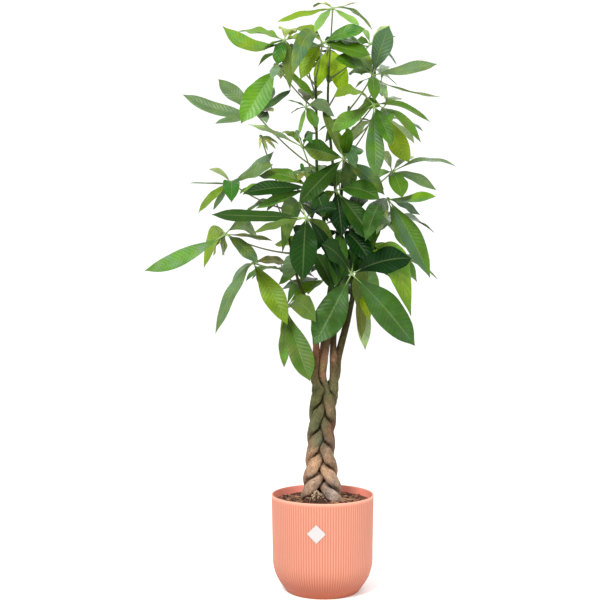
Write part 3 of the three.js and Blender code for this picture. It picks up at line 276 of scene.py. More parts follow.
def clamp(value, low, high):
    return max(low, min(high, value))


def circle(count):
    """The angles of so many even steps round a circle."""
    return 2 * np.pi * np.arange(count) / count


def along_line(points, at):
    """The value at a place, or at each of many, of (place, value) points joined by straight lines."""
    return np.interp(at, *zip(*points))


def along_curve(points, z):
    """An array of a, b, ... at a height of points (height, a, b, ...) joined by a smooth curve."""
    i = 1
    while i < len(points) - 1 and z > points[i][0]:
        i += 1
    p1, p2 = points[i - 1], points[i]
    p0, p3 = points[max(i - 2, 0)], points[min(i + 1, len(points) - 1)]
    span = p2[0] - p1[0]
    t = clamp((z - p1[0]) / span, 0, 1)
    v0, v1, v2, v3 = (np.array(p[1:], float) for p in (p0, p1, p2, p3))
    m1 = (v2 - v0) / (p2[0] - p0[0]) * span
    m2 = (v3 - v1) / (p3[0] - p1[0]) * span
    t2 = t * t
    t3 = t2 * t
    return (2 * t3 - 3 * t2 + 1) * v1 + (t3 - 2 * t2 + t) * m1 + (3 * t2 - 2 * t3) * v2 + (t3 - t2) * m2


def linear(rgb):
    """An sRGB colour, 0 to 255, as linear light."""
    c = np.array(rgb, float) / 255
    return np.where(c <= 0.04045, c / 12.92, ((c + 0.055) / 1.055) ** 2.4)


def tone(letter):
    """The blade colour that shows as a tone under the studio light."""
    return np.maximum(linear(TONES[letter]) - BLADE_VEIL, DARKEST_BLADE) / BLADE_LIGHT


def mix(a, b, share):
    return a + (b - a) * share


def step_smoothly(value, start, end):
    t = np.clip((value - start) / (end - start), 0, 1)
    return t * t * (3 - 2 * t)


def ripple(x, y, z, octaves=3):
    """Smooth noise about 0, from about -1 to 1, at a place given in its own wavelengths."""
    return noise.fractal(Vector((x, y, z)), 0.9, 2.1, octaves)


# ---------------- meshes

def add_object(name, data):
    obj = bpy.data.objects.new(name, data)
    bpy.context.scene.collection.objects.link(obj)
    return obj


class Shape:
    """Points in millimetres with a tint and a detail vector each, and faces with a material each."""

    def __init__(self):
        self.points = []
        self.tints = []
        self.details = []
        self.faces = []
        self.kinds = []
        self.sharp = set()
        self.count = 0

    def add_points(self, points, tints, details=(0, 0, 0)):
        """Tints and details are given for each point, or for whole rows of them. Gives the first's number."""
        shape = np.shape(points)
        for store, values in ((self.points, points), (self.tints, tints), (self.details, details)):
            store.append(np.broadcast_to(np.asarray(values, float), shape).reshape(-1, 3))
        first = self.count
        self.count += len(self.points[-1])
        return first

    def add_faces(self, faces, kind=0):
        self.faces.extend(faces)
        self.kinds.extend([kind] * len(faces))

    def mark_sharp(self, a, b):
        self.sharp.add((min(a, b), max(a, b)))

    def piece(self, name, slot, materials, *nodes):
        """One Blender object of it, riding on the root body, that stands for the given nodes."""
        mesh = bpy.data.meshes.new(name)
        mesh.from_pydata((np.concatenate(self.points) * MM).tolist(), [], self.faces)
        for material in materials:
            mesh.materials.append(material)
        mesh.polygons.foreach_set("material_index", self.kinds)
        mesh.polygons.foreach_set("use_smooth", [True] * len(self.faces))
        tint = mesh.attributes.new("tint", "FLOAT_COLOR", "POINT")
        rgba = np.ones((self.count, 4))
        rgba[:, :3] = np.concatenate(self.tints)
        tint.data.foreach_set("color", rgba.ravel())
        detail = mesh.attributes.new("detail", "FLOAT_VECTOR", "POINT")
        detail.data.foreach_set("vector", np.concatenate(self.details).ravel())
        if self.sharp:
            marks = mesh.attributes.new("sharp_edge", "BOOLEAN", "EDGE")
            keys = [tuple(sorted(edge.vertices)) for edge in mesh.edges]
            marks.data.foreach_set("value", [key in self.sharp for key in keys])
        mesh.validate()
        obj = add_object(name, mesh)
        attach(obj, "root")
        if nodes:
            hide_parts(*nodes)


def add_rings(shape, rings, tints, ends, end_tints, details=(0, 0, 0), end_details=(0, 0, 0), kind=0):
    """A closed body of rings of points, each anticlockwise as seen from the last one's side, with quads
    between them and a point beyond each end."""
    sides = len(rings[0])
    first = shape.add_points(rings, tints, details)
    caps = shape.add_points(ends, end_tints, end_details)
    last = caps - sides
    around = [(i, (i + 1) % sides) for i in range(sides)]
    for a in range(first, last, sides):
        shape.add_faces([(a + i, a + j, a + sides + j, a + sides + i) for i, j in around], kind)
    for i, j in around:
        shape.add_faces([(caps, first + j, first + i), (caps + 1, last + i, last + j)], kind)


ASKEW = vec(0.13, -1, 0.07)     # a direction that no tube starts in
END_BULGE = 0.6                 # of a tube, as a share of its radius


def add_tube(shape, centres, radii, tints, kind=0, sides=6):
    """A closed round tube along a row of centres, with a tint for each of them or one for all."""
    centres = np.asarray(centres, float)
    runs = unit(np.gradient(centres, axis=0))
    across = unit(np.cross(runs[0], ASKEW))
    angles = circle(sides)
    rings = []
    for centre, run, radius in zip(centres, runs, radii):
        across = across_run(across, run)
        spokes = np.outer(np.cos(angles), across) + np.outer(np.sin(angles), np.cross(run, across))
        rings.append(centre + radius * spokes)
    tints = np.broadcast_to(tints, centres.shape)
    ends = [centres[0] - runs[0] * radii[0] * END_BULGE, centres[-1] + runs[-1] * radii[-1] * END_BULGE]
    add_rings(shape, rings, tints[:, None], ends, tints[[0, -1]], kind=kind)


def cut_octahedron():
    """Points and faces of an octahedron with each edge cut in two, its middles pushed out to the sphere."""
    corners = [vec(1, 0, 0), vec(0, 1, 0), vec(-1, 0, 0), vec(0, -1, 0), vec(0, 0, 1), vec(0, 0, -1)]
    points, faces, middles = list(corners), [], {}

    def middle(a, b):
        key = (min(a, b), max(a, b))
        if key not in middles:
            middles[key] = len(points)
            points.append(unit(corners[a] + corners[b]))
        return middles[key]

    upper = [(i, (i + 1) % 4, 4) for i in range(4)]
    lower = [(b, a, 5) for a, b, _ in upper]
    for a, b, c in upper + lower:
        ab, bc, ca = middle(a, b), middle(b, c), middle(c, a)
        faces += [(a, ab, ca), (ab, b, bc), (ca, bc, c), (ab, bc, ca)]
    return points, faces


GRAIN_POINTS, GRAIN_FACES = cut_octahedron()
GRAIN_DRAWS = len(GRAIN_POINTS) + 1     # one for each point, and one to spare


def add_grain(shape, random, place, size, tint, turn, roughness=0.25):
    """A small closed irregular grain, turned about the vertical, its points pushed in and out."""
    cos, sin = math.cos(turn), math.sin(turn)
    pushes = [1 + roughness * (2 * random() - 1) for _ in range(GRAIN_DRAWS)]
    points = []
    for point, push in zip(GRAIN_POINTS, pushes):
        x, y, z = point * size * push
        points.append((place[0] + x * cos - y * sin, place[1] + x * sin + y * cos, place[2] + z))
    first = shape.add_points(points, tint)
    shape.add_faces([tuple(first + i for i in face) for face in GRAIN_FACES])


# ---------------- materials

class Paint:
    """A material under construction round its Principled shader. Values are sockets or constants."""

    def __init__(self, name, **values):
        self.material = bpy.data.materials.new(name)
        self.material.use_nodes = True
        self.tree = self.material.node_tree
        self.shader = self.tree.nodes["Principled BSDF"]
        self.set_shader(**values)

    def give(self, socket, value):
        if isinstance(value, bpy.types.NodeSocket):
            self.tree.links.new(value, socket)
        else:
            socket.default_value = value

    def set_shader(self, **values):
        for name, value in values.items():
            self.give(self.shader.inputs[name.replace("_", " ")], value)

    def add(self, kind, *inputs, output=None, **settings):
        """A node with its first inputs linked or set. Gives the named output, or the first in use."""
        node = self.tree.nodes.new(kind)
        for key, value in settings.items():
            setattr(node, key, value)
        for socket, value in zip([s for s in node.inputs if s.enabled], inputs):
            self.give(socket, value)
        return node.outputs[output] if output else next(s for s in node.outputs if s.enabled)

    def math(self, operation, *values):
        return self.add("ShaderNodeMath", *values, operation=operation)

    def times(self, product, *factors):
        for factor in factors:
            product = self.math("MULTIPLY", product, factor)
        return product

    def attribute(self, name, output="Color"):
        return self.add("ShaderNodeAttribute", output=output, attribute_name=name)

    def parts(self, vector):
        return self.add("ShaderNodeSeparateXYZ", vector).node.outputs

    def place(self):
        return self.add("ShaderNodeTexCoord", output="Object")

    def noise(self, place, scale, detail=3.0, roughness=0.55):
        return self.add("ShaderNodeTexNoise", place, scale, detail, roughness)

    def stretch(self, place, x, y, z):
        return self.add("ShaderNodeVectorMath", place, (x, y, z), operation="MULTIPLY")

    def span(self, value, low, high, to_low=0.0, to_high=1.0):
        return self.add("ShaderNodeMapRange", value, low, high, to_low, to_high)

    def blend(self, share, a, b, kind="MIX"):
        a, b = (c if isinstance(c, bpy.types.NodeSocket) else (*c, 1) for c in (a, b))
        return self.add("ShaderNodeMix", share, a, b, data_type="RGBA", blend_type=kind)

    def shade(self, colour, amount):
        """A colour made darker or lighter by a factor."""
        grey = self.add("ShaderNodeCombineXYZ", amount, amount, amount)
        return self.blend(1.0, colour, grey, "MULTIPLY")

    def finish(self, height, distance, strength, **values):
        """The material, with its last values and a relief, its distance in metres."""
        bump = self.add("ShaderNodeBump", strength, distance)
        self.give(bump.node.inputs["Height"], height)
        self.set_shader(Normal=bump, **values)
        return self.material


def leaf_paint(name, underside):
    """Blade: tinted per leaflet, with a pale midrib, paired side veins and soft mottling; painted shade
    darkens the blade along its veins and painted light brightens the quilted swells between them.
    """
    shine, dullness, vein_share = (0.08, (0.58, 0.7), 0.5) if underside else (0.17, (0.36, 0.5), 0.58)
    paint = Paint(name)
    # The tint's green sets the gloss: darker tints, which carry painted shade, reflect less.
    lightness = paint.parts(paint.attribute("tint", "Vector"))[1]
    across, vein, _ = paint.parts(paint.attribute("detail", "Vector"))
    tint = paint.attribute("tint")
    place = paint.place()
    apart = paint.math("ABSOLUTE", across)
    rise = paint.math("SUBTRACT", vein, paint.times(paint.math("POWER", apart, VEIN_CURVE), VEIN_SWEEP))
    waver = paint.times(paint.noise(place, 60.0, 2.0), 0.35)
    side = paint.math("PINGPONG", paint.math("ADD", rise, waver), 0.5)
    veins = paint.times(paint.span(side, 0.02, 0.12, 1.0, 0.0), paint.span(apart, 0.7, 1.0, 1.0, 0.35))
    midrib = paint.span(apart, 0.02, 0.085, 1.0, 0.0)
    lines = paint.math("MAXIMUM", midrib, paint.times(veins, 0.3))
    mottle = paint.span(paint.noise(place, 30.0, 5.0), 0.28, 0.72, 0.76, 1.2)
    fine = paint.span(paint.noise(place, 420.0, 2.0), 0.2, 0.8, 0.96, 1.04)
    # Painted shade along the veins and painted light on the swells between them.
    vein_groove_shade = paint.span(side, 0.0, 0.5, 0.86, 1.08)
    body = paint.shade(tint, paint.times(mottle, fine, vein_groove_shade))
    warm = paint.blend(1.0, body, (1.35, 1.12, 0.5), "MULTIPLY")
    patch = paint.span(paint.noise(place, 38.0), 0.42, 0.68, 0.0, 0.65)
    margin = paint.span(apart, 0.8, 1.0, 0.0, 0.5)
    body = paint.blend(paint.math("MAXIMUM", patch, margin), body, warm)
    if underside:
        body = paint.blend(0.16, body, linear((106, 126, 58)))
    pale = paint.blend(0.2, tint, linear((150, 166, 104)))
    pillow = paint.math("SQRT", paint.times(side, 2.0))
    relief = paint.math("SUBTRACT", pillow, paint.times(midrib, 0.9))
    if underside:
        relief = paint.times(relief, -1.0)
    return paint.finish(
        paint.math("ADD", relief, paint.times(paint.noise(place, 300.0, 2.0), 0.15)), 0.0009, 0.6,
        Base_Color=paint.blend(paint.times(lines, vein_share), body, pale),
        Roughness=paint.span(paint.noise(place, 45.0), 0.3, 0.7, *dullness),
        Specular_IOR_Level=paint.span(lightness, 0.006, 0.09, 0.3 * shine, shine),
    )


def stalk_paint():
    """Petioles, ribs and swollen joints: their own tint, faintly streaked."""
    paint = Paint("stalk", Roughness=0.5, Specular_IOR_Level=0.35)
    place = paint.place()
    streak = paint.span(paint.noise(paint.stretch(place, 1, 1, 0.2), 500.0, 2.0), 0.25, 0.75, 0.82, 1.15)
    colour = paint.shade(paint.attribute("tint"), streak)
    return paint.finish(paint.noise(place, 700.0, 2.0), 0.0002, 0.5, Base_Color=colour)


def bark_paint():
    """Bark: tint by height, with fine length-wise wrinkles, pale flecks and dark cracks."""
    paint = Paint("bark", Specular_IOR_Level=0.1)
    run = paint.attribute("detail", "Vector")
    tint = paint.attribute("tint")
    wrinkle = paint.noise(paint.stretch(run, 1, 1, 0.3), 0.7, 5.0, 0.65)
    fleck = paint.noise(paint.stretch(run, 1, 1, 2.2), 0.45, 3.0, 0.7)
    dark = paint.span(wrinkle, 0.38, 0.6, 0.45, 1.2)
    blotch = paint.span(paint.noise(run, 0.09, 4.0, 0.6), 0.3, 0.7, 0.74, 1.24)
    colour = paint.shade(tint, paint.times(dark, blotch))
    colour = paint.blend(paint.times(paint.span(fleck, 0.58, 0.7), 0.5), colour, paint.shade(tint, 1.9))
    moss = paint.times(paint.span(paint.noise(run, 0.05, 5.0), 0.56, 0.7), 0.25)
    colour = paint.blend(moss, colour, linear((104, 112, 62)))
    roughness = paint.span(wrinkle, 0.3, 0.7, 0.86, 0.62)
    relief = paint.math("ADD", wrinkle, paint.times(fleck, 0.6))
    return paint.finish(relief, 0.0018, 0.9, Base_Color=colour, Roughness=roughness)


def pot_paint():
    """Moulded apricot plastic with a fine satin grain: painted shade darkens the grooves and painted light
    brightens the ribs.
    """
    paint = Paint("apricot_plastic", Specular_IOR_Level=0.4)
    groove = paint.parts(paint.attribute("detail", "Vector"))[0]
    place = paint.place()
    cloud = paint.span(paint.noise(place, 9.0), 0.3, 0.7, 0.97, 1.02)
    # Painted shade in the grooves, painted light on the ribs.
    depth = paint.blend(paint.span(groove, 0.1, 0.9), (1.06, 1.06, 1.06), (0.78, 0.69, 0.63))
    colour = paint.blend(1.0, paint.shade(paint.attribute("tint"), cloud), depth, "MULTIPLY")
    grain = paint.noise(place, 1400.0, 2.0)
    roughness = paint.span(grain, 0.3, 0.7, 0.44, 0.54)
    return paint.finish(grain, 0.00008, 0.6, Base_Color=colour, Roughness=roughness)


def label_paint():
    """The bare plate: white satin film with a faint grain."""
    paint = Paint("white_plate", Specular_IOR_Level=0.45)
    place = paint.place()
    grain = paint.noise(place, 900.0, 2.0)
    cloud = paint.span(paint.noise(place, 60.0, 2.0), 0.3, 0.7, 0.97, 1.0)
    colour = paint.shade(paint.attribute("tint"), cloud)
    roughness = paint.span(grain, 0.3, 0.7, 0.34, 0.42)
    return paint.finish(grain, 0.00005, 0.5, Base_Color=colour, Roughness=roughness)


def soil_paint():
    """Moist potting soil: dark crumbs, brown fibre and a few pale grains."""
    paint = Paint("potting_soil", Specular_IOR_Level=0.2)
    place = paint.place()
    crumb = paint.noise(place, 260.0, 5.0, 0.7)
    patch = paint.span(paint.noise(place, 40.0), 0.3, 0.7, 0.75, 1.2)
    colour = paint.shade(paint.attribute("tint"), paint.times(paint.span(crumb, 0.3, 0.7, 0.5, 1.5), patch))
    pale = paint.times(paint.span(paint.noise(place, 700.0, 2.0), 0.66, 0.74), 0.5)
    colour = paint.blend(pale, colour, linear((168, 138, 104)))
    roughness = paint.span(crumb, 0.3, 0.7, 1.0, 0.8)
    return paint.finish(crumb, 0.002, 0.9, Base_Color=colour, Roughness=roughness)


def fibre_paint():
    """Dry root fibre and bark chips: tinted, streaked along the grain."""
    paint = Paint("dry_fibre", Specular_IOR_Level=0.2, Roughness=0.85)
    place = paint.place()
    streak = paint.span(paint.noise(place, 600.0), 0.3, 0.7, 0.72, 1.2)
    colour = paint.shade(paint.attribute("tint"), streak)
    return paint.finish(paint.noise(place, 500.0), 0.0006, 0.7, Base_Color=colour)


# ---------------- pot and label

POT_TINT = linear((180, 116, 94))
POT_INSIDE_TINT = linear((226, 138, 120))
# Lighter on the rolled lip: a painted highlight.
POT_LIP_HIGHLIGHT_TINT = linear((198, 136, 114))
# Darker towards the bottom: painted shade on the foot.
POT_FOOT_SHADE_TINT = linear((146, 68, 36))
LABEL_TINT = linear((170, 166, 165))
POT_SIDES = RIB_COUNT * 6
POT_ROWS = [0, 1, 3, 6, 10, 15, 20, 26, 32, 40, 48, 56, 66, 80, 110, 140, 170, 190, 196, 199, 200.4]
INSIDE_ROWS = [202, 196, 180, 55, 30, FLOOR]
# Heights between which the ribs rise and die out, and the painted shade at the foot gives way to the wall's
# colour.
RIBS_START = (7, 24)
RIBS_END = (197, 200.4)
FOOT_SHADE_END = (-6, 74)
GROOVE_DEPTH = 1.25 * RIB_DEPTH
CORNER_REACH = 9
# The lip stands a little proud of the wall, with a soft step under it.
LIP_STEP = 0.35
STEP_HEIGHT = 200.9
LIP_HEIGHT = 201.4
STEP_ROUND = 0.3


def wall_radius(z):
    return along_line(POT_OUTLINE, z)


def soft_wall_radius(z):
    """The wall's outline with its corners rounded, apart from the foot's edge."""
    heights = np.clip(z + np.linspace(-CORNER_REACH, CORNER_REACH, 13), 0, POT_OUTLINE[-1][0])
    return mix(wall_radius(z), np.mean(wall_radius(heights)), step_smoothly(z, 4, 20))


def build_pot(paint):
    """Rows up the ribbed wall, over the rolled lip and down the smooth inside to the floor."""
    angles = circle(POT_SIDES)
    ribs = 0.5 - 0.5 * np.cos(RIB_COUNT * angles)
    rows = []   # height, radius, depth in the groove, tint
    for z in POT_ROWS:
        groove = ribs * step_smoothly(z, *RIBS_START) * (1 - step_smoothly(z, *RIBS_END))
        tint = mix(POT_FOOT_SHADE_TINT, POT_TINT, step_smoothly(z, *FOOT_SHADE_END))
        rows.append((z, soft_wall_radius(z) - GROOVE_DEPTH * groove, groove, tint))
    rows.append((STEP_HEIGHT, RIM_RADIUS - LIP_STEP, 0, POT_LIP_HIGHLIGHT_TINT))
    for turn in np.linspace(0, np.pi / 2, 4):
        radius = RIM_RADIUS - LIP_STEP * (1 - math.sin(turn))
        rows.append((LIP_HEIGHT + STEP_ROUND * math.sin(turn), radius, 0, POT_LIP_HIGHLIGHT_TINT))
    inner = RIM_RADIUS - WALL
    for turn in np.linspace(0, np.pi, 9):
        radius = (RIM_RADIUS + inner + WALL * math.cos(turn)) / 2
        tint = POT_INSIDE_TINT if radius < inner + 0.2 else POT_LIP_HIGHLIGHT_TINT
        rows.append((POT_HEIGHT - LIP_ROUND * (1 - math.sin(turn)), radius, 0, tint))
    for z in INSIDE_ROWS:
        rows.append((z, wall_radius(z) - WALL, 0, POT_INSIDE_TINT))
    rings, tints, details = [], [], []
    for z, radius, groove, tint in rows:
        rings.append(np.stack([radius * np.cos(angles), radius * np.sin(angles), np.full(POT_SIDES, z)], 1))
        tints.append([tint])
        details.append(np.outer(np.broadcast_to(groove, POT_SIDES), (1, 0, 0)))
    shape = Shape()
    add_rings(shape, rings, tints, [(0, 0, 0), (0, 0, FLOOR)], POT_FOOT_SHADE_TINT, details)
    for i in range(POT_SIDES):
        shape.mark_sharp(i, (i + 1) % POT_SIDES)
    shape.piece("ribbed_pot", "pot", [paint], "pot")


def build_label(paint):
    """The bare plate: a square stood on its corner, bent round the pot, with softened edges."""
    half, thickness = LABEL["half"], LABEL["thickness"]
    middle = math.radians(LABEL["angle"] - 90)
    grid = [-1, -0.985, -0.96, *np.linspace(-0.9, 0.9, 17), 0.96, 0.985, 1]
    faces = []
    for front in (1, 0):
        for a in grid:
            for b in grid:
                edge = step_smoothly(max(abs(a), abs(b)), 0.955, 1)
                z = LABEL["z"] + (a + b) / 2 * half
                radius = wall_radius(z) + GAP + front * thickness * (1 - 0.5 * edge ** 2)
                angle = middle + (a - b) / 2 * half / wall_radius(LABEL["z"])
                faces.append((radius * math.cos(angle), radius * math.sin(angle), z))
    shape = Shape()
    shape.add_points(faces, LABEL_TINT)
    count = len(grid)
    last = count - 1
    back = count * count
    for i in range(last):
        for k in range(last):
            a, b = i * count + k, (i + 1) * count + k
            shape.add_faces([(a, b, b + 1, a + 1), (back + a, back + a + 1, back + b + 1, back + b)])
    rim = []
    for start, step in ((0, 1), (last, count), (back - 1, -1), (last * count, -count)):
        rim += [start + step * k for k in range(last)]
    for a, b in zip(rim, rim[1:] + rim[:1]):
        shape.add_faces([(a, b, back + b, back + a)])
    shape.piece("bare_label", "label", [paint], "label_plate")


# ---------------- soil

SOIL_TINT = linear((112, 80, 60))
CHIP_TINTS = [
    linear(rgb) for rgb in ((116, 76, 58), (80, 52, 38), (146, 98, 74), (54, 34, 26), (176, 136, 108))
]
FIBRE_TINT = linear((176, 142, 104))
HAIR_TINT = linear((190, 164, 134))
SOIL_EDGE = wall_radius(SOIL_LEVEL) - WALL
SOIL_FIT = math.cos(math.pi / 60)       # keeps the soil inside the flats of the pot's 60-sided solid
SOIL_REACH = (SOIL_EDGE - GAP) * SOIL_FIT
SOIL_SIDES = 132
SOIL_RINGS = 46
SOIL_SINK = 1.5
# Swells of the surface: height, wavelength, slice of the noise.
SOIL_SWELLS = [(2.6, 34, 3.1), (1.1, 9, 8.7)]

# A heap of crumbs and dry root hair against the foot of the plait, in front and to the left.
HEAP_MIDDLE = (-16, -41)
HEAP_REACH = 27
HEAP_STRETCH = 1.2
HEAP_HEIGHT = 25
HEAP_SKIRT = 3
HEAP_BOTTOM = SOIL_LEVEL - 9
HEAP_SIDES = 48
HEAP_RINGS = 18
HEAP_SHADE = 0.4
HEAP_BODY_TINT = SOIL_TINT * HEAP_SHADE * 0.7
HEAP_CHIPS = (1, 3, 1, 0, 3, 2)

FIBRE_STEPS = np.linspace(0, 1, 9)


def soil_height(x, y):
    mound = SOIL_MOUND * (1 - min(math.hypot(x, y) / SOIL_EDGE, 1)) ** 1.5
    swells = sum(rise * ripple(x / wave, y / wave, at) for rise, wave, at in SOIL_SWELLS)
    return SOIL_LEVEL + mound - SOIL_SINK + swells


def heap_height(x, y):
    far = math.hypot((x - HEAP_MIDDLE[0]) / HEAP_STRETCH, y - HEAP_MIDDLE[1]) / HEAP_REACH
    rise = HEAP_HEIGHT * max(1 - far, 0) ** 0.75 - HEAP_SKIRT * min(far, 1)
    return soil_height(x, y) + rise * (1 + 0.25 * ripple(x / 7, y / 7, 2.3))


def ring_on(surface, radius, sides, middle=(0, 0), stretch=1):
    """A ring of points round a middle, laid on a surface: a height, or a function of x and y."""
    points = []
    for angle in circle(sides):
        x, y = middle[0] + stretch * radius * math.cos(angle), middle[1] + radius * math.sin(angle)
        points.append((x, y, surface(x, y) if callable(surface) else surface))
    return points


def scatter(random, count, reach, middle=(0, 0), stretch=1):
    """Even random places on a disc: x, y and the turn that each lies at, drawn one by one."""
    for _ in range(count):
        out, turn = reach * math.sqrt(random()), 2 * math.pi * random()
        yield middle[0] + stretch * out * math.cos(turn), middle[1] + out * math.sin(turn), turn


def add_crumbs(shape, random, places, surface, sizes, least_rise, pick_tint):
    """Crumbs at (x, y, turn) places on a surface. sizes: the least, how much more, and how rarely."""
    least, more, power = sizes
    for x, y, turn in places:
        size = least + more * random() ** power
        axes = (size, size * (0.6 + 0.5 * random()), size * (least_rise + 0.5 * random()))
        add_grain(shape, random, (x, y, surface(x, y) + 0.3 * size), axes, pick_tint(), turn * 5)


def add_fibre(shape, course, surface, clear, lift, radius, tint):
    """A thin root that tapers along a course of (x, y) places, arched over a surface."""
    centres = []
    for (x, y), share in zip(course, FIBRE_STEPS):
        centres.append((x, y, surface(x, y) + clear + lift * math.sin(math.pi * share)))
    add_tube(shape, centres, radius * (1 - 0.6 * FIBRE_STEPS), tint, sides=5)


def build_soil(soil, fibre):
    rings = []
    for z in (FLOOR + GAP, 30, 55, SOIL_LEVEL - 8):
        rings.append(ring_on(z, (wall_radius(z) - WALL) * SOIL_FIT - GAP, SOIL_SIDES))
    for k in range(SOIL_RINGS):
        rings.append(ring_on(soil_height, SOIL_REACH * (1 - k / SOIL_RINGS), SOIL_SIDES))
    bed = Shape()
    add_rings(bed, rings, SOIL_TINT, [(0, 0, FLOOR + GAP), (0, 0, soil_height(0, 0))], SOIL_TINT)
    random = make_random(7)

    def mostly_brown():
        return CHIP_TINTS[int(random() * 2) if random() < 0.7 else int(random() * 5)]

    places = scatter(random, 900, SOIL_REACH - 5)
    add_crumbs(bed, random, places, soil_height, (0.9, 2.6, 2.5), 0.45, mostly_brown)
    bed.piece("soil_bed", "soil", [soil], "soil")

    litter = Shape()
    for x, y, turn in scatter(random, 130, SOIL_REACH - 9):
        length = 3 + 6 * random()
        size = (length, length * (0.25 + 0.3 * random()), 0.8 + random())
        tint = CHIP_TINTS[int(random() * 5)]
        add_grain(litter, random, (x, y, soil_height(x, y) + 1.1), size, tint, turn * 7, roughness=0.14)
    for _ in range(46):
        turn = 2 * math.pi * random()
        if random() < 0.6:
            turn = math.radians(-150 + 60 * random())
        start, run = 34 + 14 * random(), 14 + 26 * random()
        bend, lift = 0.5 * (random() - 0.5), 1.5 + 2.5 * random()
        radii = np.minimum(start + run * FIBRE_STEPS, SOIL_REACH - 4)
        angles = turn + bend * FIBRE_STEPS ** 2 + 0.05 * np.sin(9 * FIBRE_STEPS + turn)
        course = np.stack([radii * np.cos(angles), radii * np.sin(angles)], 1)
        add_fibre(litter, course, soil_height, 0.6, lift, 0.65, FIBRE_TINT * (0.7 + 0.5 * random()))
    litter.piece("soil_litter", "soil", [fibre])


def build_heap(soil, fibre):
    rings = [ring_on(HEAP_BOTTOM, HEAP_REACH, HEAP_SIDES, HEAP_MIDDLE, HEAP_STRETCH)]
    for k in range(HEAP_RINGS):
        radius = HEAP_REACH * (1 - k / HEAP_RINGS)
        rings.append(ring_on(heap_height, radius, HEAP_SIDES, HEAP_MIDDLE, HEAP_STRETCH))
    ends = [(*HEAP_MIDDLE, HEAP_BOTTOM), (*HEAP_MIDDLE, heap_height(*HEAP_MIDDLE))]
    heap = Shape()
    add_rings(heap, rings, HEAP_BODY_TINT, ends, SOIL_TINT)
    random = make_random(11)

    def shaded_chip():
        return CHIP_TINTS[HEAP_CHIPS[int(random() * len(HEAP_CHIPS))]] * HEAP_SHADE

    places = scatter(random, 260, HEAP_REACH, HEAP_MIDDLE, HEAP_STRETCH)
    add_crumbs(heap, random, places, heap_height, (0.8, 2.4, 2), 0.5, shaded_chip)
    heap.piece("soil_heap", "soil", [soil])

    hair = Shape()
    for _ in range(34):
        out, turn = HEAP_REACH * 0.6 * random(), 2 * math.pi * random()
        x, y = HEAP_MIDDLE[0] + out * math.cos(turn), HEAP_MIDDLE[1] + out * math.sin(turn)
        heading, bend = 2 * math.pi * random(), 2.4 * (random() - 0.5)
        run, lift = 7 + 15 * random(), 1 + 2.2 * random()
        step = run / (len(FIBRE_STEPS) - 1)
        course = []
        for share in FIBRE_STEPS:
            course.append((x, y))
            x += step * math.cos(heading + bend * share)
            y += step * math.sin(heading + bend * share)
        add_fibre(hair, course, heap_height, 0.7, lift, 0.55, HAIR_TINT * (0.6 + 0.6 * random()))
    hair.piece("root_hair", "soil", [fibre])


# ---------------- stems

STEM_SIDES = 28
BARK_FOOT = 165
PLAIT_START = 1.25
# Where stems meet they are pressed flat: how square the flats are, and how far each goes past the middle.
PRESS = 12.0
PRESS_DEPTH = 1.2
PRESSED_ZONE = (SOIL_LEVEL - 10, FREE_FROM + 12)
LEAST_REACH = 1.5
MOST_STRETCH = 1.7
# A dark core in the plait's hollow, painted shade behind the seams between the stems: its radius as a share
# of the plait's swing, and its colour.
SHADE_CORE_SHARE = 0.42
SHADE_CORE_TINT = linear((44, 34, 24))
# Relief of the bark: lumps (height, turns round the stem, length), and scars (height, breadth, spacing).
LUMPS = (0.9, 0.9, 26)
WRINKLES = (0.34, 3.2, 15)
SCAR_HEIGHT = 0.55
SCAR_BREADTH = 2.2

# How brightly the studio lights the bark.
BARK_LIGHT = 1.7

# Bark colour up the trunk as it shows, as sRGB, at heights in millimetres. The lightest tones at the foot are
# partly the bark's own pale grey-pink and partly painted light against the shade near the soil.
BARK_TONES = [
    (190, (198, 168, 146)), (230, (190, 158, 132)), (260, (176, 142, 114)), (300, (152, 128, 102)),
    (350, (118, 104, 76)), (400, (112, 104, 68)), (460, (110, 98, 62)), (520, (98, 76, 48)),
    (560, (66, 62, 34)), (640, (70, 74, 36)), (760, (66, 88, 36)), (1130, (66, 98, 36)),
]
# Patches that stand out: height, side (x from the trunk's middle), reach, sRGB, strength. The near-white spot
# at 246 is a painted highlight, and the pale patch at 214 on the right is partly the strand's own mauve-grey
# and partly painted light against its shade.
BARK_PATCHES_AND_PAINTED_LIGHT = [
    (280, -22, 28, (230, 182, 140), 0.85), (214, 20, 28, (210, 190, 176), 0.95),
    (316, 20, 26, (146, 118, 102), 0.8), (344, 26, 18, (134, 74, 60), 0.75),
    (246, -20, 9, (255, 230, 196), 1.0), (252, 10, 13, (232, 190, 152), 0.9),
    (230, -14, 22, (196, 162, 136), 0.6), (266, 12, 20, (196, 158, 126), 0.7),
    (322, -6, 12, (112, 122, 92), 0.8), (356, -14, 18, (106, 116, 84), 0.7),
    (372, -12, 24, (98, 100, 64), 0.7), (420, -18, 34, (96, 100, 58), 0.7),
    (436, 10, 16, (110, 118, 80), 0.7), (444, 24, 34, (104, 98, 68), 0.6),
    (462, 2, 16, (152, 108, 84), 0.7), (496, 2, 20, (164, 114, 88), 0.7),
    (518, -16, 20, (160, 104, 80), 0.85), (500, 24, 13, (190, 144, 116), 0.85),
    (392, 14, 18, (142, 114, 90), 0.6), (545, 44, 60, (62, 52, 24), 0.75),
]
MOST_PATCH_WIDTH = 16


def plait_axis(z):
    return along_curve(PLAIT_AXIS, z)[0]


def plait_place(phase, z):
    rise = max(z, SOIL_LEVEL) - PLAIT_CROSSING
    turns = (PLAIT_RATE * rise - PLAIT_SLOWING * rise * rise + phase + PLAIT_START) / STEM_COUNT
    angle = 2 * math.pi * turns
    swing, depth, radius = along_curve(PLAIT_SIZE, z)
    return plait_axis(z) - swing * math.cos(angle), -depth * math.sin(2 * angle), radius


def stem_path(phase, free):
    heights = range(STEM_FOOT, BRAID_TOP + 1, PLAIT_STATION)
    return [(z, *plait_place(phase, z)) for z in heights] + free


STEM_PATHS = [stem_path(phase, free) for phase, free in zip(STEM_PHASES, STEM_FREE)]


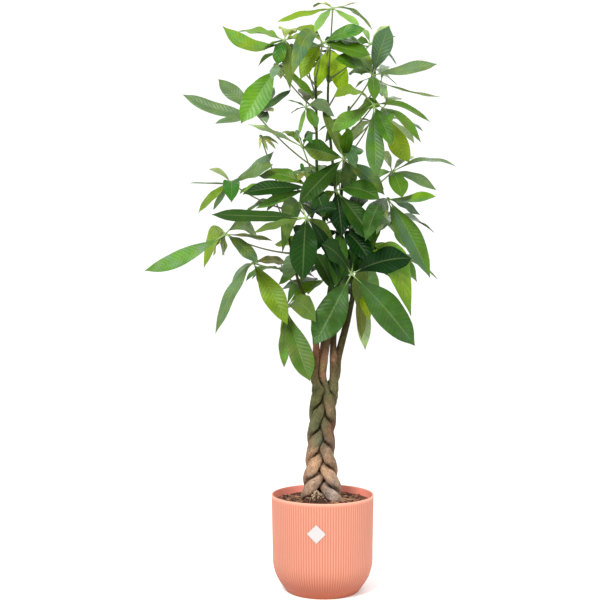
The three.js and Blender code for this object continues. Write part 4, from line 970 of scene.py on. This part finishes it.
def stem_radii(path, z, angles):
    """Radius all round a level slice: round across its own run, pressed flat against its neighbours."""
    x, y, radius = along_curve(path, z)
    below, above = along_curve(path, z - 3), along_curve(path, z + 3)
    lean = (above[:2] - below[:2]) / 6
    stretch = min(math.hypot(1, np.linalg.norm(lean)), MOST_STRETCH)
    turned = angles - math.atan2(lean[1], lean[0])
    radii = radius / np.hypot(np.cos(turned) / stretch, np.sin(turned))
    if not PRESSED_ZONE[0] < z <= PRESSED_ZONE[1]:
        return radii
    pressed = radii ** -PRESS
    for other in STEM_PATHS:
        if other is path:
            continue
        for level in (z - 4, z, z + 4):
            own_x, own_y, own_radius = along_curve(path, level)
            other_x, other_y, other_radius = along_curve(other, level)
            gap = math.hypot(other_x - own_x, other_y - own_y)
            facing = np.array([other_x - own_x, other_y - own_y]) / gap
            reach = gap * own_radius / (own_radius + other_radius) + PRESS_DEPTH
            reach = max(reach + facing.dot([own_x - x, own_y - y]), LEAST_REACH)
            toward = np.cos(angles) * facing[0] + np.sin(angles) * facing[1]
            pressed = pressed + np.where(toward > 0.05, reach / np.maximum(toward, 0.05), 1e3) ** -PRESS
    return pressed ** (-1 / PRESS)


def bark_tint(x, y, z, index):
    heights, colours = zip(*BARK_TONES)
    rgb = np.array([np.interp(z, heights, channel) for channel in zip(*colours)])
    for height, side, reach, colour, strength in BARK_PATCHES_AND_PAINTED_LIGHT:
        far = ((z - height) / reach) ** 2 + ((x - side) / min(reach, MOST_PATCH_WIDTH)) ** 2
        rgb = mix(rgb, np.array(colour, float), strength * math.exp(-far))
    wobble = 1 + 0.16 * ripple(x / 14, y / 14, z / 40 + 5 * index)
    return linear(np.clip(rgb * wobble, 0, 255)) / BARK_LIGHT


def build_shade_core(paint):
    """A dark core in the hollow of the plait: painted shade that shows through the seams between the stems.
    """
    heights = np.arange(SOIL_LEVEL - 10, BRAID_TOP + 24, 12.0)
    centres = [(plait_axis(z), 0, z) for z in heights]
    radii = [SHADE_CORE_SHARE * along_curve(PLAIT_SIZE, z)[0] for z in heights]
    radii[-1] = 3
    shade_core = Shape()
    add_tube(shade_core, centres, radii, SHADE_CORE_TINT, sides=14)
    shade_core.piece("plait_shade_core", "stems", [paint])


def build_stem(index, paint):
    """Bark up one stem, in level rings with lumps, fine wrinkles and ring-shaped scars."""
    path = STEM_PATHS[index]
    top = path[-1][0]
    random = make_random(300 + index)
    coarse = FREE_FROM + 20
    heights = [*np.arange(BARK_FOOT, coarse, 3.5), *np.arange(coarse, top, 6), top]
    scars, z = [], 200
    while z < top:
        scars.append((z, 2 * math.pi * random(), 0.5 + random()))
        z += 12 + 26 * random()
    angles = circle(STEM_SIDES)
    foot = (*along_curve(path, BARK_FOOT)[:2], BARK_FOOT)
    run, last = 0.0, foot
    rings, tints, details = [], [], []
    for z in heights:
        x, y, radius = along_curve(path, z)
        run += math.dist((x, y, z), last)
        last = (x, y, z)
        share = min(radius / 12, 1)
        ring = []
        for angle, r in zip(angles, stem_radii(path, z, angles)):
            cos, sin = math.cos(angle), math.sin(angle)
            rise, turns, length = LUMPS
            relief = rise * ripple(cos * turns + 7 * index, sin * turns, run / length)
            rise, turns, length = WRINKLES
            relief += rise * ripple(cos * turns, sin * turns + 5 * index, run / length, 2)
            for height, side, size in scars:
                near = math.exp(-(((z - height) / SCAR_BREADTH) ** 2))
                relief += SCAR_HEIGHT * size * near * (0.35 + 0.65 * max(math.cos(angle - side), 0))
            r += share * (relief - 0.35)
            ring.append((x + r * cos, y + r * sin, z))
            details.append((cos * radius, sin * radius, run + 400 * index))
        rings.append(ring)
        tints.append([bark_tint(*point, index) for point in ring])
    ends = [(*foot[:2], BARK_FOOT - 1), (x, y, top + 1.2)]
    details = np.reshape(details, np.shape(rings))
    shape = Shape()
    add_rings(shape, rings, tints, ends, tints[-1][0], details, (0, 0, run))
    shape.piece(f"bark_{index + 1}", "stems", [paint], f"stem_{index + 1}")


# ---------------- leaves

UP = vec(0, 0, 1)
TO_FRONT = vec(0, -1, 0)
UPPER, UNDER, STALK = 0, 1, 2
PATCH_SIZE = 26
VEIN_SPACING = 9.5
VEIN_SWEEP = 1.9
VEIN_CURVE = 0.8
SLIM_WIDTH = 15
SLIM_ROWS = 16
BROAD_ROWS = 30
LEAST_HALF_WIDTH = 0.015
HALF_THICKNESS = 0.34
# Half width along a leaflet, as shares: nothing at the stalk, widest past the middle, a drawn-out tip.
BROAD_PROFILE = [
    (0.03, 0), (0.1, 0.09), (0.2, 0.34), (0.34, 0.7), (0.48, 0.92), (0.6, 1), (0.73, 0.93), (0.84, 0.69),
    (0.91, 0.4), (0.955, 0.17), (0.985, 0.06), (1, 0),
]
SLIM_PROFILE = [
    (0.03, 0), (0.12, 0.3), (0.25, 0.75), (0.42, 1), (0.6, 0.97), (0.78, 0.72), (0.92, 0.3), (1, 0),
]
ACROSS = np.array([-1, -0.9, -0.7, -0.45, -0.2, -0.07, 0, 0.07, 0.2, 0.45, 0.7, 0.9, 1])
# What is drawn for each leaflet, in this order, each evenly between two values.
TRAITS = [
    (-0.12, 0.12),      # twist from stalk to tip, in radians
    (0.1, 0.26),        # fold up from the midrib
    (0, 0.1),           # curl down of the edges
    (1.4, 3.2),         # waves along an edge
    (0.035, 0.095),     # their height, as a share of the width
    (0, 1),             # where they start on the left
    (0, 1),             # and on the right
    (0.8, 1.7),         # bays along an edge
    (0.94, 1.06),       # lightness
    (0.95, 1.05),       # redness
    (0, 1),             # whether the tip is dry
    (0, 1),             # to spare
]
DRY_ABOVE = 0.45
DRYNESS = 0.6
STALK_GREEN = linear((92, 112, 50))
STALK_DARK = linear((60, 54, 42))
RIB_PALE = linear((120, 144, 76))
TIP_BROWN = linear((84, 66, 42))
# Painted shade at a leaflet's base, near the hub, as a share of its colour.
HUB_SHADE = 0.66
HUB_RADIUS = 4.1
HUB_RISE = 2.9
# Along a rib and a petiole, as (share, value).
RIB_END = 0.93
RIB_RADII = [(0, 1.5), (0.1, 1.25), (0.5, 0.75), (RIB_END, 0.2)]
RIB_SINK = [(0, 0), (0.08, 0.3), (0.2, 1)]
PETIOLE_RADII = [(0, 2.9), (0.04, 2.7), (0.12, 1.9), (0.5, 1.55), (0.9, 1.6), (0.97, 2.2), (1, 2.4)]


def from_view(gx, gz, y):
    k = (EYE_DISTANCE + y) / EYE_DISTANCE
    return vec(EYE_X + (gx - EYE_X) * k, y, EYE_Z + (gz - EYE_Z) * k)


def nearest_depth(points, view):
    """Depth of the point that shows nearest to a place seen from the front."""
    k = EYE_DISTANCE / (EYE_DISTANCE + points[:, 1])
    shown = np.stack([EYE_X + (points[:, 0] - EYE_X) * k, EYE_Z + (points[:, 2] - EYE_Z) * k], 1)
    return points[np.linalg.norm(shown - np.array(view), axis=1).argmin()][1]


def hub_depth(points, view):
    """The hub's solid has six corners, one each way, so its middle lies one radius back from any of them."""
    middles = [points + s * SOLID_HUB_RADIUS * axis for axis in np.eye(3) for s in (1, -1)]
    return nearest_depth(np.concatenate(middles), view)


def node_points(node):
    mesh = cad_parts[node].data
    flat = np.zeros(len(mesh.vertices) * 3)
    mesh.vertices.foreach_get("co", flat)
    return flat.reshape(-1, 3) / MM


def column(steps):
    """Steps along a curve, each in a row of its own."""
    return np.asarray(steps, float)[:, None]


def bezier(p0, p1, p2, t):
    return (1 - t) ** 2 * p0 + 2 * t * (1 - t) * p1 + t * t * p2


def bezier_run(p0, p1, p2, t):
    return unit(2 * (1 - t) * (p1 - p0) + 2 * t * (p2 - p1))


def leaflet_frame(hub, tip, width, face, arch):
    """Midrib of a leaflet, the direction from edge to edge, its full width and length, as in the solids."""
    length = np.linalg.norm(tip - hub)
    control = (hub + tip) / 2 + UP * 2 * arch * length
    chord = unit(tip - hub)
    share = abs(face)
    frontward = across_run(TO_FRONT, chord) * math.copysign(1, face)
    normal = unit(across_run(UP, chord) * (1 - share) + frontward * share)
    side = unit(np.cross(normal, chord))
    shown = max(math.hypot(side[0], side[2]), 0.6)
    return (hub, control, tip), side, max(width / shown, LEAST_SLENDERNESS * length), length


def blade_tints(letters, lively, place, ts, dry):
    """Tints over a blade: its two tones side by side or in patches, with painted shade towards the hub and a
    dry tip.
    """
    left, right = tone(letters[0]) * lively, tone(letters[-1]) * lively
    if "/" in letters:
        share = np.broadcast_to(step_smoothly(ACROSS, -0.12, 0.12), place.shape[:2])
    else:
        patches = [[ripple(*(spot / PATCH_SIZE)) for spot in row] for row in place]
        share = np.clip(0.4 + 1.3 * np.array(patches) + 0.35 * np.abs(ACROSS), 0, 1)
    body = mix(left, right, share[..., None])
    # Painted shade towards the hub.
    body = body * mix(HUB_SHADE, 1.04, step_smoothly(ts, 0.02, 0.5))[..., None]
    browning = DRYNESS * dry * step_smoothly(ts, 0.955, 1.0)
    return mix(body, TIP_BROWN, browning[..., None]), mix(left, right, 0.5)


def add_blade(shape, upper, lower, tints, detail, ends, end_tints, end_detail):
    """Both sides of a blade, which share their edge, drawn together to a point at each end."""
    rows, columns = upper.shape[:2]
    first = shape.add_points(upper, tints, detail)
    under = shape.add_points(lower[:, 1:-1], tints[:, 1:-1], detail[:, 1:-1])
    stalk = shape.add_points(ends, end_tints, end_detail)
    tip, edge, far = stalk + 1, columns - 1, rows - 1

    def top(r, c):
        return first + r * columns + c

    def low(r, c):
        return top(r, c) if c in (0, edge) else under + r * (columns - 2) + c - 1

    for c in range(edge):
        d = c + 1
        for r in range(far):
            shape.add_faces([(top(r, c), top(r + 1, c), top(r + 1, d), top(r, d))], UPPER)
            shape.add_faces([(low(r, c), low(r, d), low(r + 1, d), low(r + 1, c))], UNDER)
        shape.add_faces([(stalk, top(0, c), top(0, d)), (tip, top(far, d), top(far, c))], UPPER)
        shape.add_faces([(stalk, low(0, d), low(0, c)), (tip, low(far, c), low(far, d))], UNDER)
    for c in (0, edge):
        for r in range(far):
            shape.mark_sharp(top(r, c), top(r + 1, c))


def add_leaflet(shape, hub, tip, width, face, arch, letters, random):
    """Folded along its midrib, waved at its edges and quilted between its veins, with a rib beneath."""
    draws = [mix(low, high, random()) for low, high in TRAITS]
    twist, fold, curl, waves, depth, left, right, bays, light, red, dry, _ = draws
    curve, side, width, length = leaflet_frame(hub, tip, width, face, arch)
    slim = width < SLIM_WIDTH
    profile, rows = (SLIM_PROFILE, SLIM_ROWS) if slim else (BROAD_PROFILE, BROAD_ROWS)
    start = profile[0][0]
    ts = column(mix(start, 1, np.linspace(0, 1, rows + 2)[1:-1] ** 0.95))
    half = column([along_curve(profile, t)[0] for t in ts[:, 0]])
    half = 0.5 * width * np.maximum(half, LEAST_HALF_WIDTH)
    normal = unit(np.cross(bezier_run(*curve, ts), side))
    turn = twist * (ts - 0.25)
    sides = side * np.cos(turn) + normal * np.sin(turn)
    normal = (normal * np.cos(turn) - side * np.sin(turn))[:, None]

    phase = np.where(ACROSS < 0, left, right)
    outward = np.abs(ACROSS)
    veins = ts * length / VEIN_SPACING
    bend = half * (fold * (np.sqrt(ACROSS ** 2 + 0.012) - 0.11) - curl * ACROSS ** 4)
    wave = depth * width * np.sin(2 * np.pi * (waves * ts + phase)) * ACROSS ** 2 * np.sin(np.pi * ts) ** 0.7
    quilt = 0.009 * width * np.cos(2 * np.pi * (veins - VEIN_SWEEP * outward ** VEIN_CURVE))
    quilt = quilt * np.minimum(outward, 0.6) * half / half.max()
    spread = half * ACROSS * (0.985 + 0.055 * np.sin(2 * np.pi * (bays * ts + phase + 0.3)))
    thick = HALF_THICKNESS * np.sqrt(1 - 0.9 * ACROSS ** 2) * np.minimum(1, half / 2)
    place = bezier(*curve, ts)[:, None] + sides[:, None] * spread[..., None]
    place = place + normal * (bend + wave - quilt)[..., None]
    upper, lower = place + normal * thick[..., None], place - normal * thick[..., None]

    lively = light * np.array([red, 1, 1])
    tints, tint = blade_tints(letters, lively, place, ts, dry > DRY_ABOVE)
    detail = np.zeros(place.shape)
    detail[..., 0] = ACROSS * np.clip(half / 6, 0.35, 1)
    detail[..., 1] = veins
    ends = bezier(*curve, column([start, 1]))
    end_detail = [(0, start * length / VEIN_SPACING, 0), (0, length / VEIN_SPACING, 0)]
    add_blade(shape, upper, lower, tints, detail, ends, [tint, tints[-1][0]], end_detail)
    add_rib(shape, curve, side, tint, 0.6 if slim else 1)


def add_rib(shape, curve, side, tint, size):
    """The midrib, sunk into the blade so that it stands out beneath."""
    ts = column(np.linspace(0, RIB_END, 16))
    radii = along_line(RIB_RADII, ts) * size
    sink = along_line(RIB_SINK, ts) * radii * 0.75
    normal = unit(np.cross(bezier_run(*curve, ts), side))
    tints = mix(RIB_PALE, tint, 0.76 * step_smoothly(ts, 0.02, 0.25))
    add_tube(shape, bezier(*curve, ts) - normal * sink, radii, tints, STALK)


def add_petiole(shape, stem, at, hub, tint, ripeness):
    x, y = along_curve(STEM_PATHS[stem - 1], at)[:2]
    root = vec(x, y, at)
    control = (root + hub) / 2 - UP * PETIOLE_BOW * np.linalg.norm(root - hub)
    ts = column(np.linspace(0, 1, 22))
    lower_tint = mix(STALK_DARK, STALK_GREEN, 0.25 + 0.5 * ripeness)
    tints = mix(lower_tint, tint, step_smoothly(ts, 0.45, 1.0))
    add_tube(shape, bezier(root, control, hub, ts), along_line(PETIOLE_RADII, ts), tints, STALK, sides=8)


def add_hub(shape, hub, tint, tilt):
    """The swollen joint where the leaflets meet: a low bun across the petiole's end."""
    across = unit(np.cross(tilt, vec(0.2, 0.1, 1)))
    other = np.cross(tilt, across)
    angles = circle(12)
    outward = np.outer(np.cos(angles), across) + np.outer(np.sin(angles), other)
    rises = np.pi * ((np.arange(7) + 0.5) / 7 - 0.5)
    rings = [hub + HUB_RADIUS * math.cos(a) * outward + HUB_RISE * math.sin(a) * tilt for a in rises]
    add_rings(shape, rings, tint, [hub - HUB_RISE * tilt, hub + HUB_RISE * tilt], tint, kind=STALK)


def build_leaf(number, stem, at, hub_view, tones, tips, paints):
    """tips: (x, z, width, facing, arch) of each leaflet as seen; their depths come from the node's solid."""
    name = f"leaf_{number:02d}"
    shape = Shape()
    random = make_random(500 + number)
    points = node_points(name)
    hub = from_view(*hub_view, hub_depth(points, hub_view))
    hub_tint = mix(STALK_GREEN, tone("p"), 0.6 * random())
    mean = vec(0, 0, 0)
    for (x, z, width, face, *arch), letters in zip(tips, tones):
        tip = from_view(x, z, nearest_depth(points, (x, z)))
        add_leaflet(shape, hub, tip, width, face / 10, arch[0] if arch else LEAFLET_ARCH, letters, random)
        mean = mean + (tip - hub) / len(tips)
    add_petiole(shape, stem, at, hub, hub_tint, random())
    add_hub(shape, hub, hub_tint, unit(mean * 0.4 + UP * 30 + TO_FRONT * 20))
    shape.piece(f"{name}_blades", "leaves", paints, name)


def far_tips(hub, count, length, seed):
    """Tips that stand evenly round the hub and droop outward."""
    random = make_random(seed)
    start = random()
    tips = []
    for i in range(count):
        angle = 2 * math.pi * (i + start) / count + (random() - 0.5) * 0.25
        reach = length * (0.85 + 0.3 * random())
        fall = FAR_DROOP * (0.6 + 0.8 * random())
        x, z = hub[0] + reach * math.cos(angle), hub[1] - reach * fall
        tips.append((x, z, FAR_WIDTH * reach, FAR_FACING, FAR_ARCH))
    return tips


def build_leaves():
    paints = [leaf_paint("blade_upper", False), leaf_paint("blade_under", True), stalk_paint()]
    for number, (stem, at, hub, tones, tips) in enumerate(LEAVES, 1):
        build_leaf(number, stem, at, hub, tones.split(), tips, paints)
    for i, (stem, at, hub, tones, length) in enumerate(FAR_LEAVES):
        tips = far_tips(hub, len(tones), length, FAR_SEED + i)
        build_leaf(len(LEAVES) + 1 + i, stem, at, hub, tones, tips, paints)


# ---------------- floor, light and camera

# The studio, in metres and watts.
FLOOR_HALF = 40
SKY_LIGHT = 1.09
SOFTBOXES = [   # name, place, target, size, power
    ("key", (-1.1, -2.2, 2.6), (0, 0, 0.75), 0.8, 118),
    ("fill", (2.1, -2.0, 1.3), (0, 0, 0.5), 1.6, 36),
    ("rim", (0.9, 1.9, 2.4), (0, 0, 0.9), 1.6, 16),
]
LENS = 59.02
SENSOR = 36


def build_studio():
    h = FLOOR_HALF
    mesh = bpy.data.meshes.new("floor")
    mesh.from_pydata([(-h, -h, 0), (h, -h, 0), (h, h, 0), (-h, h, 0)], [], [(0, 1, 2, 3)])
    pale = Paint("pale_floor", Base_Color=(0.95, 0.95, 0.95, 1), Roughness=0.9, Specular_IOR_Level=0.1)
    mesh.materials.append(pale.material)
    add_object("floor", mesh)

    world = bpy.data.worlds.new("studio")
    world.use_nodes = True
    sky = world.node_tree.nodes["Background"]
    sky.inputs["Color"].default_value = (1, 1, 1, 1)
    sky.inputs["Strength"].default_value = SKY_LIGHT
    bpy.context.scene.world = world

    for name, place, target, size, power in SOFTBOXES:
        light = bpy.data.lights.new(name, "AREA")
        light.energy, light.size = power, size
        obj = add_object(name, light)
        obj.location = place
        obj.rotation_euler = (Vector(target) - Vector(place)).to_track_quat("-Z", "Y").to_euler()


def build_camera():
    lens = bpy.data.cameras.new("camera")
    lens.lens, lens.sensor_width = LENS, SENSOR
    camera = add_object("camera", lens)
    camera.location = (EYE_X * MM, -EYE_DISTANCE * MM, EYE_Z * MM)
    camera.rotation_euler = (math.radians(90), 0, 0)
    bpy.context.scene.camera = camera


build_pot(pot_paint())
build_label(label_paint())
soil, fibre = soil_paint(), fibre_paint()
build_soil(soil, fibre)
build_heap(soil, fibre)
bark = bark_paint()
for stem_index in range(STEM_COUNT):
    build_stem(stem_index, bark)
build_shade_core(bark)
build_leaves()
build_studio()
build_camera()
bpy.context.scene.view_settings.view_transform = "Standard"

bpy.context.view_layer.update()
